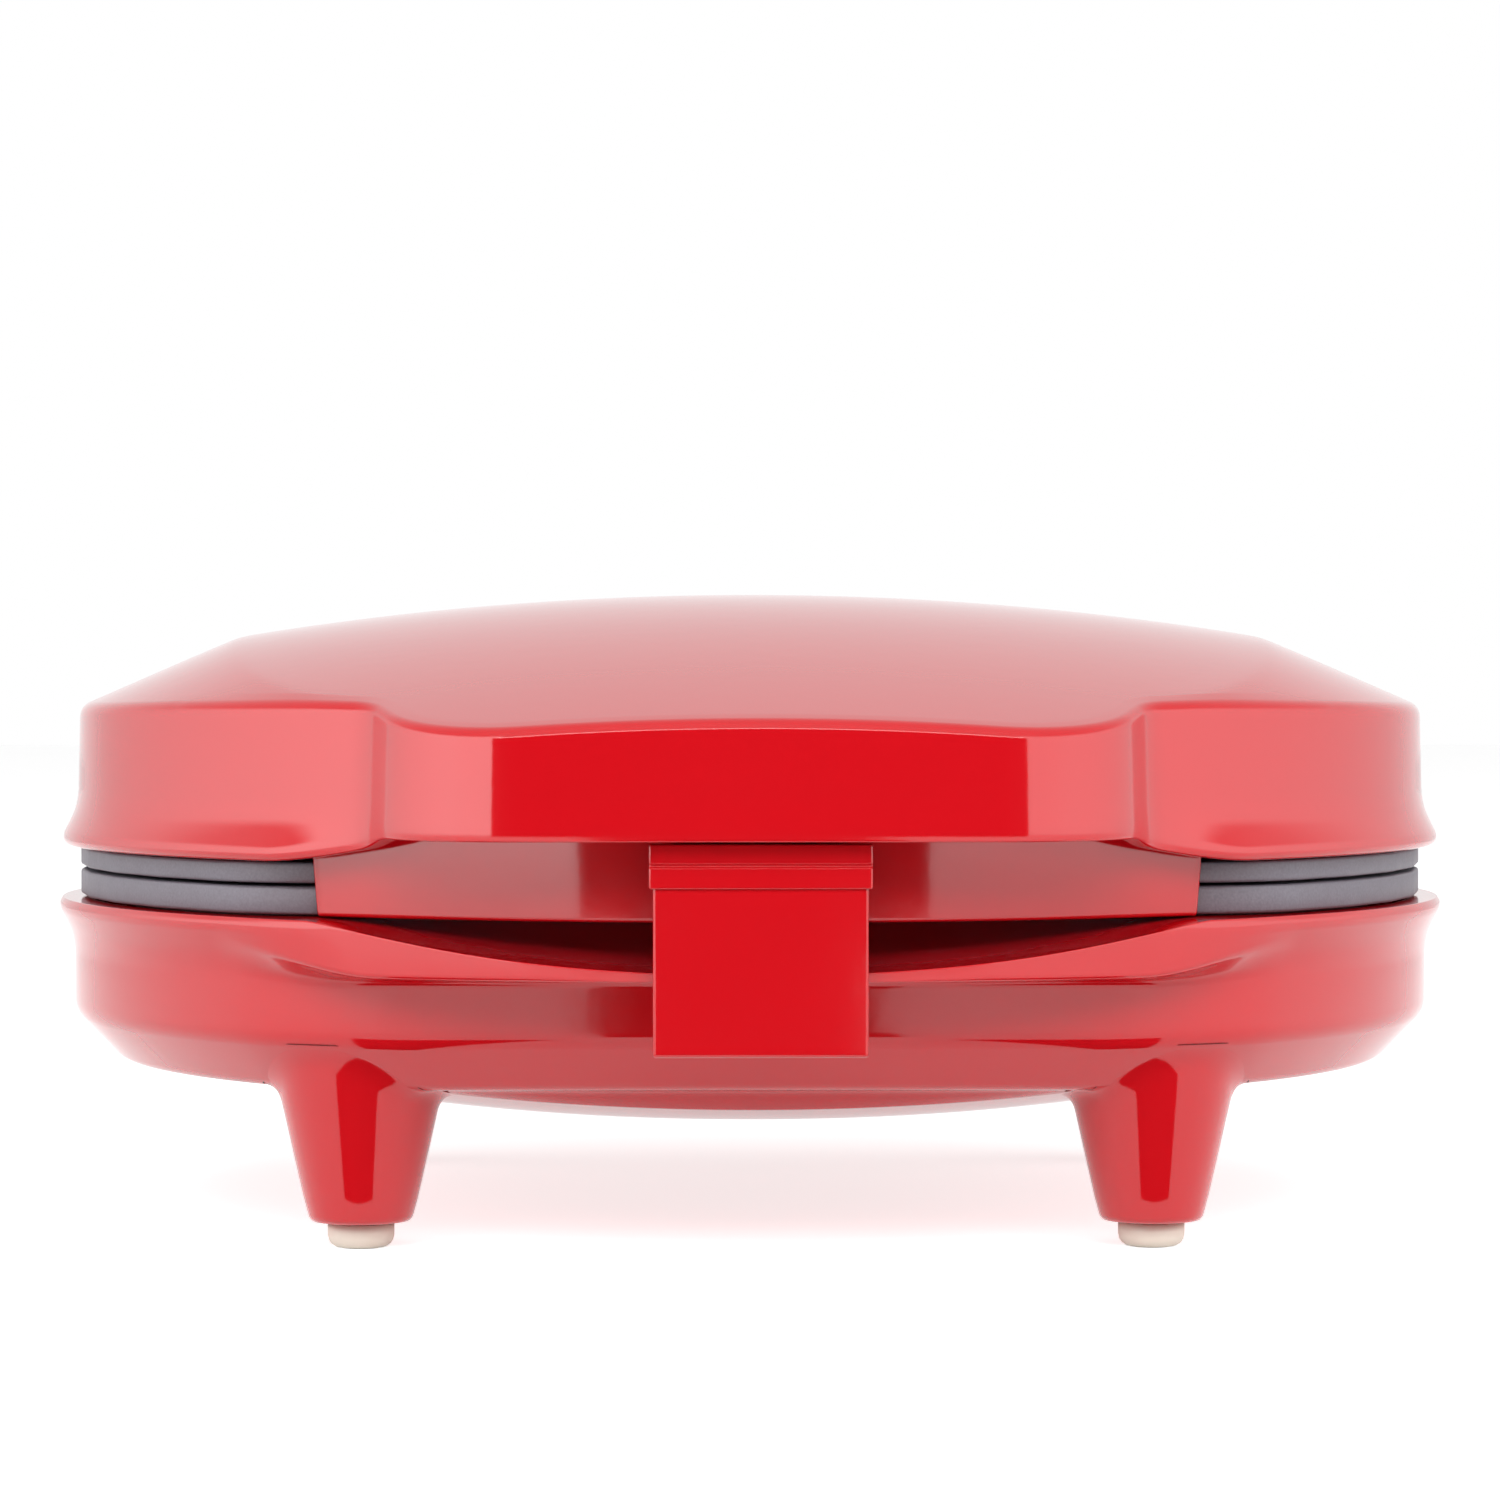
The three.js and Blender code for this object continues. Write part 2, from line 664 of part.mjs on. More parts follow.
function lidShell() {
  const outer = lidForm(0);
  const inner = lidForm(wall);
  const round = arc(axleY, axleZ, knuckleRadius, -Math.PI, Math.PI / 4, cornerSteps * 2);
  const arm = [
    ...round.map((p) => [p.x, p.y]),
    [rearFlat - wall / 2, lidMouthZ + armRise],
    [rearFlat - wall / 2, lidMouthZ + edgeBreak],
  ];
  const arms = sides.map((s) =>
    carried(arm, s * hingeX - knuckleWidth / 2, s * hingeX + knuckleWidth / 2));
  const postTop = (x, y) => crownAt(new THREE.Vector2(x, y)) - wall / 2;
  const threadEnd = upperPostEnd + threadGrip + past;
  const platePosts = sides.map((s) => cut(
    post(s * screwX, 0, upperPostEnd, postTop(screwX, 0), postRadius),
    post(s * screwX, 0, upperPostEnd - past, threadEnd, screwRadius + seatGap, pinSides)));
  const linerPostEnd = postTop(linerScrewX, linerScrewY);
  const linerPosts = sides.map((s) => cut(
    post(s * linerScrewX, linerScrewY, floorTopZ + seatGap, linerPostEnd, linerPostRadius,
      pinSides),
    post(s * linerScrewX, linerScrewY, floorTopZ - past, floorTopZ + linerScrewLength,
      linerScrewRadius + seatGap, pinSides)));
  const shell = join(cut(outer, inner), ...platePosts, ...linerPosts, ...arms);
  const pinBore = bar(-baseRadius, baseRadius, axleY, axleZ, hingePinRadius + bearingGap, pinSides);
  return cut(shell, pinBore);
}

// The plates: a flange that rests on the shell's mouth, and a pan with four cells.
const platePlan = () =>
  bodyOutline(plateRadius, plateFront, plateRear, plateCornerRadius, plateCornerRadius);

// A waffle plate lying face up with its face at height zero.
function wafflePlate(flange) {
  const plan = platePlan();
  const pan = grown(plan, -panInset);
  const fieldPlan = grown(pan, -cellInset);
  const field = prism(fieldPlan, -cellDepth, past);
  const low = -cellDepth - past;
  const cross = join(
    block(-landHalfWidth, landHalfWidth, -baseRadius, baseRadius, low, past * 2),
    block(-baseRadius, baseRadius, -landHalfWidth, landHalfWidth, low, past * 2));
  const rim = loft([
    ring(grown(plan, -seatGap), -flange), ring(plan, -flange + seatGap),
    ring(plan, -seatGap), ring(grown(plan, -seatGap), 0)]);
  const tub = loft([
    ring(grown(pan, -edgeBreak), -panDepth), ring(pan, -panDepth + edgeBreak),
    ring(pan, -seatGap)]);
  const bossEnd = -panDepth - bossLength;
  const bosses = sides.map((s) => post(s * screwX, 0, bossEnd, -panDepth + past, bossRadius));
  const bores = sides.flatMap((s) => [
    post(s * screwX, 0, bossEnd - past, past, screwRadius + screwClearance, pinSides),
    post(s * screwX, 0, -screwHeadHeight - screwSink, past, screwHeadRadius + screwClearance),
  ]);
  const body = join(rim, tub, ...bosses);
  return cut(join(cut(body, cut(field, cross)), ...pegs(fieldPlan)), ...bores);
}

// Square pegs on the floor of every cell, wherever a whole peg has room.
function pegs(field) {
  const found = [];
  const first = landHalfWidth + pegMargin + pegPitch / 2;
  const half = pegFoot / 2;
  const floor = -cellDepth;
  const corners = [[-1, -1], [1, -1], [1, 1], [-1, 1]];
  const square = (x, y, size, z) => corners.map(([a, b]) =>
    new THREE.Vector3(x + (a * size) / 2, y + (b * size) / 2, z));
  const inField = (x, y) => field.reduce((inside, a, i) => {
    const b = field[(i + 1) % field.length];
    const crosses = (a.y > y) !== (b.y > y);
    return crosses && x < a.x + ((y - a.y) * (b.x - a.x)) / (b.y - a.y) ? !inside : inside;
  }, false);
  const places = [];
  for (let at = first; at < plateRadius; at += pegPitch) places.push(at, -at);
  for (const x of places) {
    for (const y of places) {
      const room = corners.every(([a, b]) =>
        inField(x + a * (half + pegMargin), y + b * (half + pegMargin)));
      if (!room) continue;
      found.push(loft([
        square(x, y, pegFoot, floor - past), square(x, y, pegFoot, floor),
        square(x, y, pegTop, floor + pegHeight)]));
    }
  }
  return found;
}

// A heating element: a loop of tube that leaves two tails pointing to the rear.
function element(z) {
  const w = elementHalfWidth;
  const d = elementHalfDepth;
  const r = elementCorner;
  const bend = elementRadius * 2;
  const half = [
    new THREE.Vector2(elementTailX, elementTailY),
    ...arc(elementTailX + bend, d + bend, bend, Math.PI, Math.PI * 1.5, bendSteps),
    ...arc(w - r, d - r, r, Math.PI / 2, 0, bendSteps),
    ...arc(w - r, r - d, r, 0, -Math.PI / 2, bendSteps),
  ];
  const path = [
    ...half.map((p) => new THREE.Vector3(p.x, p.y, z)),
    ...half.map((p) => new THREE.Vector3(-p.x, p.y, z)).reverse(),
  ];
  const ends = sides.map((s) => rod(s * elementTailX, elementTailY - past,
    elementTailY + terminalLength, z, terminalRadius, tubeSides));
  return join(tube(path, elementRadius), ...ends);
}

// A shallow tray of sheet, its floor's underside at height zero and its edge turned up.
function shield(up) {
  const plan = grown(platePlan(), -panInset - shieldInset);
  const tray = cut(
    prism(plan, 0, shieldThickness + shieldEdge),
    prism(grown(plan, -shieldThickness), shieldThickness, shieldThickness + shieldEdge + past));
  const slotHalf = elementRadius + tailSlotMargin;
  const holes = sides.flatMap((s) => [
    post(s * screwX, 0, -past, shieldThickness + past, screwRadius + screwClearance, pinSides),
    block(s * elementTailX - slotHalf, s * elementTailX + slotHalf, 0, baseRadius,
      shieldThickness + past, shieldThickness + shieldEdge + past),
  ]);
  const solid = cut(tray, ...holes);
  return up ? solid : solid.rotate([180, 0, 0]);
}

// The handle's liner and the clip.
const skirtCentreY = skirtRadius - skirtFront;
const skirtFootZ = lidMouthZ - skirtDrop;
const pinY = -clipFront + clipPinBehind;
const clipTopZ = lidMouthZ + handleLift - clipTopGap;
const pinZ = clipTopZ - clipPinBelow + clipTopGap;

// The ends of the liner lean in towards its foot.
function linerEnds(low, high) {
  const lean = (linerHalfWidthTop - linerHalfWidthFoot) / (floorTopZ - skirtFootZ);
  const widthAt = (z) => linerHalfWidthFoot + lean * (z - skirtFootZ);
  const outline = (z) => [[-1, -handleFront], [1, -handleFront], [1, 0], [-1, 0]].map(([a, y]) =>
    new THREE.Vector3(a * widthAt(z), y, z));
  return loft([outline(low), outline(high)]);
}

function handleLiner() {
  const disc = (radius, low, high) => prism([
    ...arc(0, skirtCentreY, radius, -Math.PI, 0, skirtSteps),
    new THREE.Vector2(0, skirtCentreY + radius)], low, high);
  const inNose = grown(lidOutline(), -wall - seatGap);
  const nose = prism(inNose, skirtFootZ - past, floorTopZ);
  const deckLow = lidMouthZ + seatGap / 2;
  const ahead = block(-baseRadius, baseRadius, -handleFront, -deckBack, skirtFootZ, floorTopZ);
  const behind = disc(skirtRadius - skirtThickness, skirtFootZ - past, floorTopZ + past);
  const skirt = cut(disc(skirtRadius, skirtFootZ, floorTopZ), behind);
  const floor = cut(prism(inNose, floorFootZ, floorTopZ), behind);
  const deck = disc(skirtRadius - skirtThickness / 2, deckLow, deckLow + linerFloor);
  const slot = block(-clipHeadWidth / 2 - turnGap, clipHeadWidth / 2 + turnGap,
    -handleFront, -skirtFront - turnGap, skirtFootZ, floorTopZ + past);
  const whole = join(cut(floor, slot), skirt, deck).intersect(ahead)
    .intersect(linerEnds(skirtFootZ, floorTopZ)).intersect(nose);
  const lugHalf = clipHeadWidth / 2 - clipCheek - turnGap;
  const lugRound = arc(pinY, pinZ, clipLugRadius, Math.PI / 2, Math.PI * 1.5, cornerSteps * 2);
  const lug = carried([
    ...lugRound.map((p) => [p.x, p.y]),
    [-skirtFront + skirtThickness / 2, pinZ - clipLugRadius],
    [-skirtFront + skirtThickness / 2, pinZ + clipLugRadius],
  ], -lugHalf, lugHalf);
  const bores = sides.map((s) => post(s * linerScrewX, linerScrewY, skirtFootZ,
    floorTopZ + past, linerScrewRadius + seatGap, pinSides));
  const pinBore = bar(-lugHalf - past, lugHalf + past, pinY, pinZ,
    clipPinRadius + bearingGap, pinSides);
  return cut(join(whole, lug), ...bores, pinBore);
}

function clip() {
  const half = clipHeadWidth / 2;
  const panelHalf = clipPanelWidth / 2;
  const headFoot = clipTopZ - clipHeadDrop;
  const panelFront = -clipFront + clipStep;
  const panelFoot = clipTopZ - clipLength;
  const head = block(-half, half, -clipFront, -clipFront + clipThickness, headFoot, clipTopZ);
  const panel = carried([
    [panelFront, panelFoot + clipStep], [panelFront + clipStep, panelFoot],
    [panelFront + clipThickness, panelFoot], [panelFront + clipThickness, headFoot + past],
    [panelFront, headFoot + past],
  ], -panelHalf, panelHalf);
  const cheekRound = arc(pinY, pinZ, clipLugRadius + turnGap, -Math.PI / 2, Math.PI / 2,
    cornerSteps * 2);
  const cheek = [
    [-clipFront + clipThickness / 2, headFoot],
    ...cheekRound.map((p) => [p.x, p.y]),
    [-clipFront + clipThickness / 2, clipTopZ],
  ];
  const cheeks = [carried(cheek, -half, clipCheek - half), carried(cheek, half - clipCheek, half)];
  const catchTop = baseMouthZ - ledgeDip - ledgeThickness - hookGap;
  const back = panelFront + clipThickness;
  const hook = carried([
    [back - clipStep, catchTop], [back - clipStep, catchTop - hookHeight - hookSlope],
    [back + hookReach, catchTop - hookHeight / 2], [back + hookReach, catchTop],
  ], -hookHalfWidth, hookHalfWidth);
  const groove = block(-half - past, half + past, -clipFront - past,
    -clipFront + clipGroove / 2, pinZ - clipGroove / 2, pinZ + clipGroove / 2);
  const bore = bar(-half - past, half + past, pinY, pinZ, clipPinRadius + bearingGap,
    pinSides);
  return cut(join(head, panel, ...cheeks, hook), groove, bore);
}

// The scene graph: one named mesh for each piece.
const part = new THREE.Group();
part.name = "sandwich_and_waffle_maker";
const centreY = (handleFront - axleY - knuckleRadius) / 2;

function addNode(name, solid, material) {
  const mesh = new THREE.Mesh(geometryOf(solid.translate([0, centreY, 0])), material);
  mesh.name = name;
  part.add(mesh);
}

const finish = (color, roughness, metalness = 0) =>
  new THREE.MeshStandardMaterial({ color, roughness, metalness });
const red = finish(0xc8141c, 0.25);
const coated = finish(0x6f6b74, 0.5, 0.3);
const rubber = finish(0xe4dfcc, 0.8);
const steel = finish(0xa8a8a8, 0.35, 0.9);
const sheet = finish(0xc4c6c8, 0.4, 0.9);
const dark = finish(0x2a2a2c, 0.7);
const ceramic = finish(0xe8e6df, 0.6);

addNode("base_shell", baseShell(), red);
legs.forEach(([x, y]) => {
  const name = `foot_pad_${y < 0 ? "front" : "rear"}_${x < 0 ? "left" : "right"}`;
  addNode(name, turned([
    [padRadius - padRound, 0], [padRadius - padRound / 3, padRound / 3], [padRadius, padRound],
    [padRadius, padHeight - seatGap], [padStemRadius, padHeight - seatGap],
    [padStemRadius, padHeight + padStemLength],
  ], x, y, 0), rubber);
});
addNode("lower_plate", wafflePlate(lowerFlange).translate([0, 0, lowerFaceZ]), coated);
addNode("lower_element", element(panUnderZ - seatGap - elementRadius), steel);
addNode("lower_shield", shield(true).translate([0, 0, lowerShieldTop - shieldThickness]), sheet);
const upside = wafflePlate(upperFlange).rotate([180, 0, 0]).mirror([0, 1, 0]);
addNode("upper_plate", upside.translate([0, 0, upperFaceZ]), coated);
addNode("upper_element", element(upperPanTop + seatGap + elementRadius), steel);
addNode("upper_shield", shield(false).mirror([0, 1, 0])
  .translate([0, 0, upperShieldUnder + shieldThickness]), sheet);

// A hinge pin for the right-hand side, its head outside the outer ear.
function hingePin() {
  const reach = knuckleWidth / 2 + turnGap + earThickness;
  const headX = hingeX + reach + seatGap;
  return join(
    bar(hingeX - reach, headX, axleY, axleZ, hingePinRadius, pinSides),
    bar(headX, headX + hingePinHeadHeight, axleY, axleZ, hingePinHead, pinSides));
}

for (const s of sides) {
  const side = s < 0 ? "left" : "right";
  const lowerHead = lowerFaceZ - screwSink;
  const upperHead = upperFaceZ + screwSink;
  addNode(`lower_screw_${side}`, screw(s * screwX, 0, lowerHead,
    lowerHead - lowerPostTop + threadGrip, screwRadius, screwHeadRadius, screwHeadHeight), steel);
  addNode(`upper_screw_${side}`, screw(s * screwX, 0, upperHead,
    upperPostEnd - upperHead + threadGrip, screwRadius, screwHeadRadius, screwHeadHeight,
    -1), steel);
  addNode(`liner_screw_${side}`, screw(s * linerScrewX, linerScrewY,
    floorFootZ - seatGap - linerScrewHeadHeight, linerScrewLength, linerScrewRadius,
    linerScrewHead, linerScrewHeadHeight, -1), steel);
  addNode(`hinge_pin_${side}`, s > 0 ? hingePin() : hingePin().mirror([1, 0, 0]), steel);
}
addNode("lid_shell", lidShell(), red);
addNode("handle_liner", handleLiner(), red);
const clipPinHalf = clipHeadWidth / 2 - past;
addNode("clip_pin", bar(-clipPinHalf, clipPinHalf, pinY, pinZ, clipPinRadius, pinSides), steel);
addNode("clip", clip(), red);

// Controls on the lid's heat shield: a disc thermostat with two blades, and a fuse.
const shieldTopZ = upperShieldUnder + shieldThickness;
const [bladeWidth, bladeThickness, bladeHeight] = bladeSize;
const blades = sides.map((s) => {
  const x = thermostatX + s * bladeSpread;
  return block(x - bladeThickness / 2, x + bladeThickness / 2,
    thermostatY - bladeWidth / 2, thermostatY + bladeWidth / 2,
    shieldTopZ + thermostatProfile[2][1],
    shieldTopZ + thermostatProfile[3][1] + bladeHeight / 2);
});
const canister = turned(thermostatProfile, thermostatX, thermostatY, shieldTopZ + seatGap);
addNode("thermostat", join(canister, ...blades), ceramic);

const fuseZ = shieldTopZ + seatGap + fuseRadius;
const fuseNear = -elementTailX;
const fuseFar = fuseNear - fuseLength;
addNode("thermal_fuse", join(
  bar(fuseFar, fuseNear, thermostatY, fuseZ, fuseRadius, pinSides),
  bar(fuseFar - fuseLeadLength, fuseNear + fuseLeadLength, thermostatY, fuseZ, fuseLeadRadius,
    tubeSides)), ceramic);

// The terminal block on the base's floor, with a bore through it for each wire.
const [blockWidth, blockDepth, blockHeight] = blockSize;
const floorHalfDepth = (rearFlat - bottomInset) * bellyProfile[2][0];
const blockY = floorHalfDepth - blockDepth / 2 - blockSetback;
const blockFloor = bottomEdgeZ - bellyFloorDrop + wall;
const blockBody = block(-blockWidth / 2, blockWidth / 2, blockY - blockDepth / 2,
  blockY + blockDepth / 2, blockFloor, blockFloor + blockHeight);
const wireBores = [-1, 0, 1].map((k) => rod(k * blockPitch, blockY - blockDepth,
  blockY + blockDepth, blockFloor + blockHeight / 2, blockWireBore, tubeSides));
addNode("terminal_block", cut(blockBody, ...wireBores), ceramic);

// The bush in the rear wall: a flange outside, a shank inside, and a bore through both.
addNode("cord_bush", cut(
  join(
    rod(bushX, rearFlat + seatGap, rearFlat + bushFlangeDepth, bushZ, bushFlangeRadius),
    rod(bushX, rearFlat - bushShankLength, rearFlat + past, bushZ, bushShankRadius)),
  rod(bushX, rearFlat - bushShankLength - past, rearFlat + overrun, bushZ, bushBore)), dark);

export default part;
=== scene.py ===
# %% [markdown]
# The real object is a red clamshell cooker: two glossy moulded shells, a pair of grey
# waffle plates between them, a handle that grows out of the lid, and a clip that hangs
# from the handle and hooks under the base. The CAD model gives every piece its place.
# Here the pieces that are seen get smooth surfaces, soft edges and their finishes.

# %% The frame from the CAD
import json

import bmesh
import bpy
import numpy as np
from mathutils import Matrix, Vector


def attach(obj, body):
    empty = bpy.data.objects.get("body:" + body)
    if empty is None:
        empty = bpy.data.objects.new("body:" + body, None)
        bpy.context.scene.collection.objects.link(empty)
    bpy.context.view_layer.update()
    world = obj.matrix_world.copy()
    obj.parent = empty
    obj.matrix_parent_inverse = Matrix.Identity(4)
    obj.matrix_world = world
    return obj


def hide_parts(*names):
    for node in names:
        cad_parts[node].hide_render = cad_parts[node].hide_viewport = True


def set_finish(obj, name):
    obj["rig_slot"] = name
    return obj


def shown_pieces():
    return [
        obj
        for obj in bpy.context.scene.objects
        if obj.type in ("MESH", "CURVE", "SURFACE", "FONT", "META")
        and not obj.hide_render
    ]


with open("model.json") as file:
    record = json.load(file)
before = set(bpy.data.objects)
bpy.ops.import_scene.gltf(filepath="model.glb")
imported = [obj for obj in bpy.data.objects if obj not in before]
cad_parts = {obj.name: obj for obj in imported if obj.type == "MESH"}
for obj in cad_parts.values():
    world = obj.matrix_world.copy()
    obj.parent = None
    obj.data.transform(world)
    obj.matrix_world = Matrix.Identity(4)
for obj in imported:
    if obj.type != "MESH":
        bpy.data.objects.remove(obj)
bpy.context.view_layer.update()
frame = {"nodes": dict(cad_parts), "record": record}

# %% [markdown]
# All shapes below are written in millimetres about the axis of the round body, with the
# handle towards -Y. The CAD frame is in metres, and its origin is under the middle of the
# whole machine, a little in front of that axis, so one shift and one scale join the two.

# %% Measures shared by several pieces
MM = 0.001
AXIS_Y = 4.8
LID_RADIUS, BASE_RADIUS = 107.6, 108.2
BASE_FRONT, REAR = 88.0, 86.0
BASE_MOUTH, LID_MOUTH, SHOULDER, CROWN = 49.4, 57.7, 79.5, 97.3
BOTTOM_EDGE, WALL_FOOT = 24.0, 31.5
WALL = 2.4
AXLE = (98.0, 54.05)
SIDES = (-1, 1)

# %% [markdown]
# A surface here is a grid of points: rows one way, columns the other. Working out whole
# rows as numpy arrays is quick, and the faces follow from the grid's size alone. A grid
# whose columns close on themselves and whose ends run into poles is a closed skin.

# %% Grids and poles
def smooth(t):
    """0 below 0 and 1 above 1, with the S-curve 3t^2 - 2t^3 between."""
    t = np.clip(t, 0, 1)
    return t * t * (3 - 2 * t)


def skin(rows, flip=False):
    """Points and faces of a grid of rows that close on themselves, shut by a fan of
    triangles at each end about the middle of its last row."""
    rows = np.asarray(rows, float)
    count, columns = rows.shape[:2]
    points = np.vstack([rows.reshape(-1, 3), rows[0].mean(0), rows[-1].mean(0)])
    r = np.arange(count - 1)[:, None] * columns
    c = np.arange(columns)[None, :]
    after = (c + 1) % columns
    quads = np.stack([r + c, r + after, r + after + columns, r + c + columns], -1).reshape(-1, 4)
    c, after = c[0], after[0]
    first, last = count * columns, count * columns + 1
    top = (count - 1) * columns
    fans = np.vstack([
        np.stack([np.full(columns, first), after, c], -1),
        np.stack([top + c, top + after, np.full(columns, last)], -1)])
    if flip:
        quads, fans = quads[:, ::-1], fans[:, ::-1]
    return points, quads, fans


# %% [markdown]
# One object in Blender can be several closed skins, such as a shell and its four legs. It
# rides on one CAD body, so it moves with that body, and the CAD nodes that it replaces are
# hidden. Weighted normals let the large faces decide the shading, so that a small
# rounded edge doesn't tilt the reflections in the flat beside it.

# %% A piece from its skins
def make_piece(name, parts, body, slot, nodes=()):
    """One object from the skins of its parts, its place in its mesh, riding on a body."""
    points, faces, start = [], [], 0
    for part_points, quads, fans in parts:
        points.append(part_points)
        faces += (quads + start).tolist() + (fans + start).tolist()
        start += len(part_points)
    place = (np.vstack(points) + [0, AXIS_Y, 0]) * MM
    mesh = bpy.data.meshes.new(name)
    mesh.from_pydata(place.tolist(), [], faces)
    mesh.shade_smooth()
    piece = bpy.data.objects.new(name, mesh)
    bpy.context.scene.collection.objects.link(piece)
    even = piece.modifiers.new("even_normals", "WEIGHTED_NORMAL")
    even.keep_sharp = True
    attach(piece, body)
    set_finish(piece, slot)
    if nodes:
        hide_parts(*nodes)
    print(f"{name}: {len(place)} points, {len(faces)} faces")


# %% [markdown]
# A moulding has no knife edges. The rows below are first written with sharp bends, which
# is easy to read, and then each bend is replaced by a short curve. A Bevel modifier could
# do this too, but the curve keeps the grid, and each bend can have its own size.

# %% Soft bends
MOST_OF_SIDE = 0.45
TINY = 1e-9


def bend_rows(rows, bends, steps=6):
    """Rounds a surface along its rows: each inner row P is replaced by the curve
    (1-t)^2 A + 2t(1-t) P + t^2 B, where A and B lie the bend's length from P towards its
    neighbours, or at most 0.45 of the way to them."""
    out = [rows[0]]
    t = np.linspace(0, 1, steps + 1)[:, None, None]
    for before, here, after, bend in zip(rows, rows[1:], rows[2:], bends):
        back, on = before - here, after - here
        back_length = np.linalg.norm(back, axis=-1, keepdims=True) + TINY
        on_length = np.linalg.norm(on, axis=-1, keepdims=True) + TINY
        bend = np.broadcast_to(np.asarray(bend, float).reshape(-1, 1), back_length.shape)
        reach = np.minimum(bend, MOST_OF_SIDE * np.minimum(back_length, on_length))
        a, b = here + back / back_length * reach, here + on / on_length * reach
        out += list((1 - t) ** 2 * a + 2 * t * (1 - t) * here + t ** 2 * b)
    return np.array(out + [rows[-1]])


# %% [markdown]
# Seen from above, the shells are circles with a flattened front and back. The lid also
# has the handle's nose, with a large round at each corner. Each outline is worked out for
# x >= 0, from the front middle to the rear middle, with many points where it bends, and
# mirrored.

# %% Curves in plan
def arc(cx, cy, radius, start, end, count):
    """Points at cx + r cos a, cy + r sin a for count angles from start to end."""
    a = np.linspace(start, end, count)
    return np.stack([cx + radius * np.cos(a), cy + radius * np.sin(a)], -1)


def stretch(curve, low, high, count):
    """The piece of a curve from length low to length high, as evenly spaced points."""
    along = np.concatenate([[0], np.cumsum(np.linalg.norm(np.diff(curve, axis=0), axis=1))])
    high = along[-1] + high if high <= 0 else high
    at = np.linspace(low, high, count)
    return np.stack([np.interp(at, along, curve[:, k]) for k in (0, 1)], -1)


def soft_corner(start, corner, end, steps=8):
    """The quadratic curve (1-t)^2 start + 2t(1-t) corner + t^2 end, without its ends."""
    t = np.linspace(0, 1, steps + 2)[1:-1, None]
    return (1 - t) ** 2 * start + 2 * t * (1 - t) * corner + t ** 2 * end


# %% Whole outlines
def both_sides(half):
    """Adds the mirror image in X, without its two end points."""
    return np.vstack([half, half[-2:0:-1] * [-1, 1]])


def corner_centre(radius, flat, corner):
    """Centre of a round that touches the circle from inside and the line y = -flat."""
    return np.sqrt((radius - corner) ** 2 - (flat - corner) ** 2), -(flat - corner)


def body_outline(radius, front, back, front_corner, back_corner):
    """A circle with a flat front and back and a round at each of the four corners."""
    fx, fy = corner_centre(radius, front, front_corner)
    bx, by = corner_centre(radius, back, back_corner)
    front_turn, back_turn = np.arctan2(fy, fx), np.arctan2(-by, bx)
    return both_sides(np.vstack([
        np.linspace((0, -front), (fx, -front), 16)[:-1],
        arc(fx, fy, front_corner, -np.pi / 2, front_turn, 26)[:-1],
        arc(0, 0, radius, front_turn, back_turn, 120)[:-1],
        arc(bx, -by, back_corner, back_turn, np.pi / 2, 24)[:-1],
        np.linspace((bx, back), (0, back), 14)]))


# %% Normals and heights of an outline
def outward(outline):
    """Unit normals of an anticlockwise loop: its tangent turned a quarter clockwise."""
    tangent = np.roll(outline, -1, 0) - np.roll(outline, 1, 0)
    tangent /= np.linalg.norm(tangent, axis=1, keepdims=True)
    return np.stack([tangent[:, 1], -tangent[:, 0]], -1)


def lift(outline, height):
    """An outline at a height, which is one number or one for each point."""
    return np.column_stack([outline, np.broadcast_to(height, len(outline))])


# %% [markdown]
# The lid's outline runs from the handle's flat face round a large corner, back along the
# flank, through a small hollow into the round wall, and on to the flat back. Its points
# lie close together where it bends, because every ring of the lid's skin is a copy of it.
# The rim flares at the mouth all round the wall, but hardly on the handle.

# %% The lid's outline
HANDLE_FRONT, HANDLE_HALF, ROOT_HALF, HANDLE_CORNER = 113.0, 48.0, 56.5, 22.0
ROOT_ROUND = 3.2
HANDLE_LIFT = 3.8
REAR_CORNER = 30.0
RIM = np.array([[1.9, 0], [2.4, 0.8], [2.3, 1.9], [1.4, 3.6], [0.5, 5.6], [0, 8.0]])
root = np.array([ROOT_HALF, -np.sqrt(LID_RADIUS ** 2 - ROOT_HALF ** 2)])
nose = np.array([HANDLE_HALF, -HANDLE_FRONT])


def lid_outline():
    """Flat face, a round at the corner, the flank, a small hollow where it meets the
    round wall, and the flat back. The face ends r tan(turn / 2) before the corner's tip."""
    turn = np.arctan2(*(root - nose)[::-1])
    face_end = HANDLE_HALF - HANDLE_CORNER * np.tan(turn / 2)
    bx, by = corner_centre(LID_RADIUS, REAR, REAR_CORNER)
    root_turn, back_turn = np.arctan2(root[1], root[0]), np.arctan2(-by, bx)
    corner = arc(face_end, HANDLE_CORNER - HANDLE_FRONT, HANDLE_CORNER,
                 -np.pi / 2, turn - np.pi / 2, 48)
    wall = arc(0, 0, LID_RADIUS, root_turn, back_turn, 400)
    flank = stretch(np.vstack([corner[-1], root]), 0, -ROOT_ROUND, 6)
    wall = stretch(wall, ROOT_ROUND, 0, 130)
    return both_sides(np.vstack([
        np.linspace((0, -HANDLE_FRONT), corner[0], 12)[:-1], corner, flank[1:],
        soft_corner(flank[-1], root, wall[0], 10), wall[:-1],
        arc(bx, -by, REAR_CORNER, back_turn, np.pi / 2, 24)[:-1],
        np.linspace((bx, REAR), (0, REAR), 14)]))


# %% Heights and shares along the lid's outline
def crown_height(p):
    """Crown minus x^2 / 1000, minus a bow in y that is round in the middle and straight
    further out: 0.309 (sqrt(y^2 + 75^2) - 75)."""
    return CROWN - p[..., 0] ** 2 / 1000 - 0.309 * (np.hypot(p[..., 1], 75) - 75)


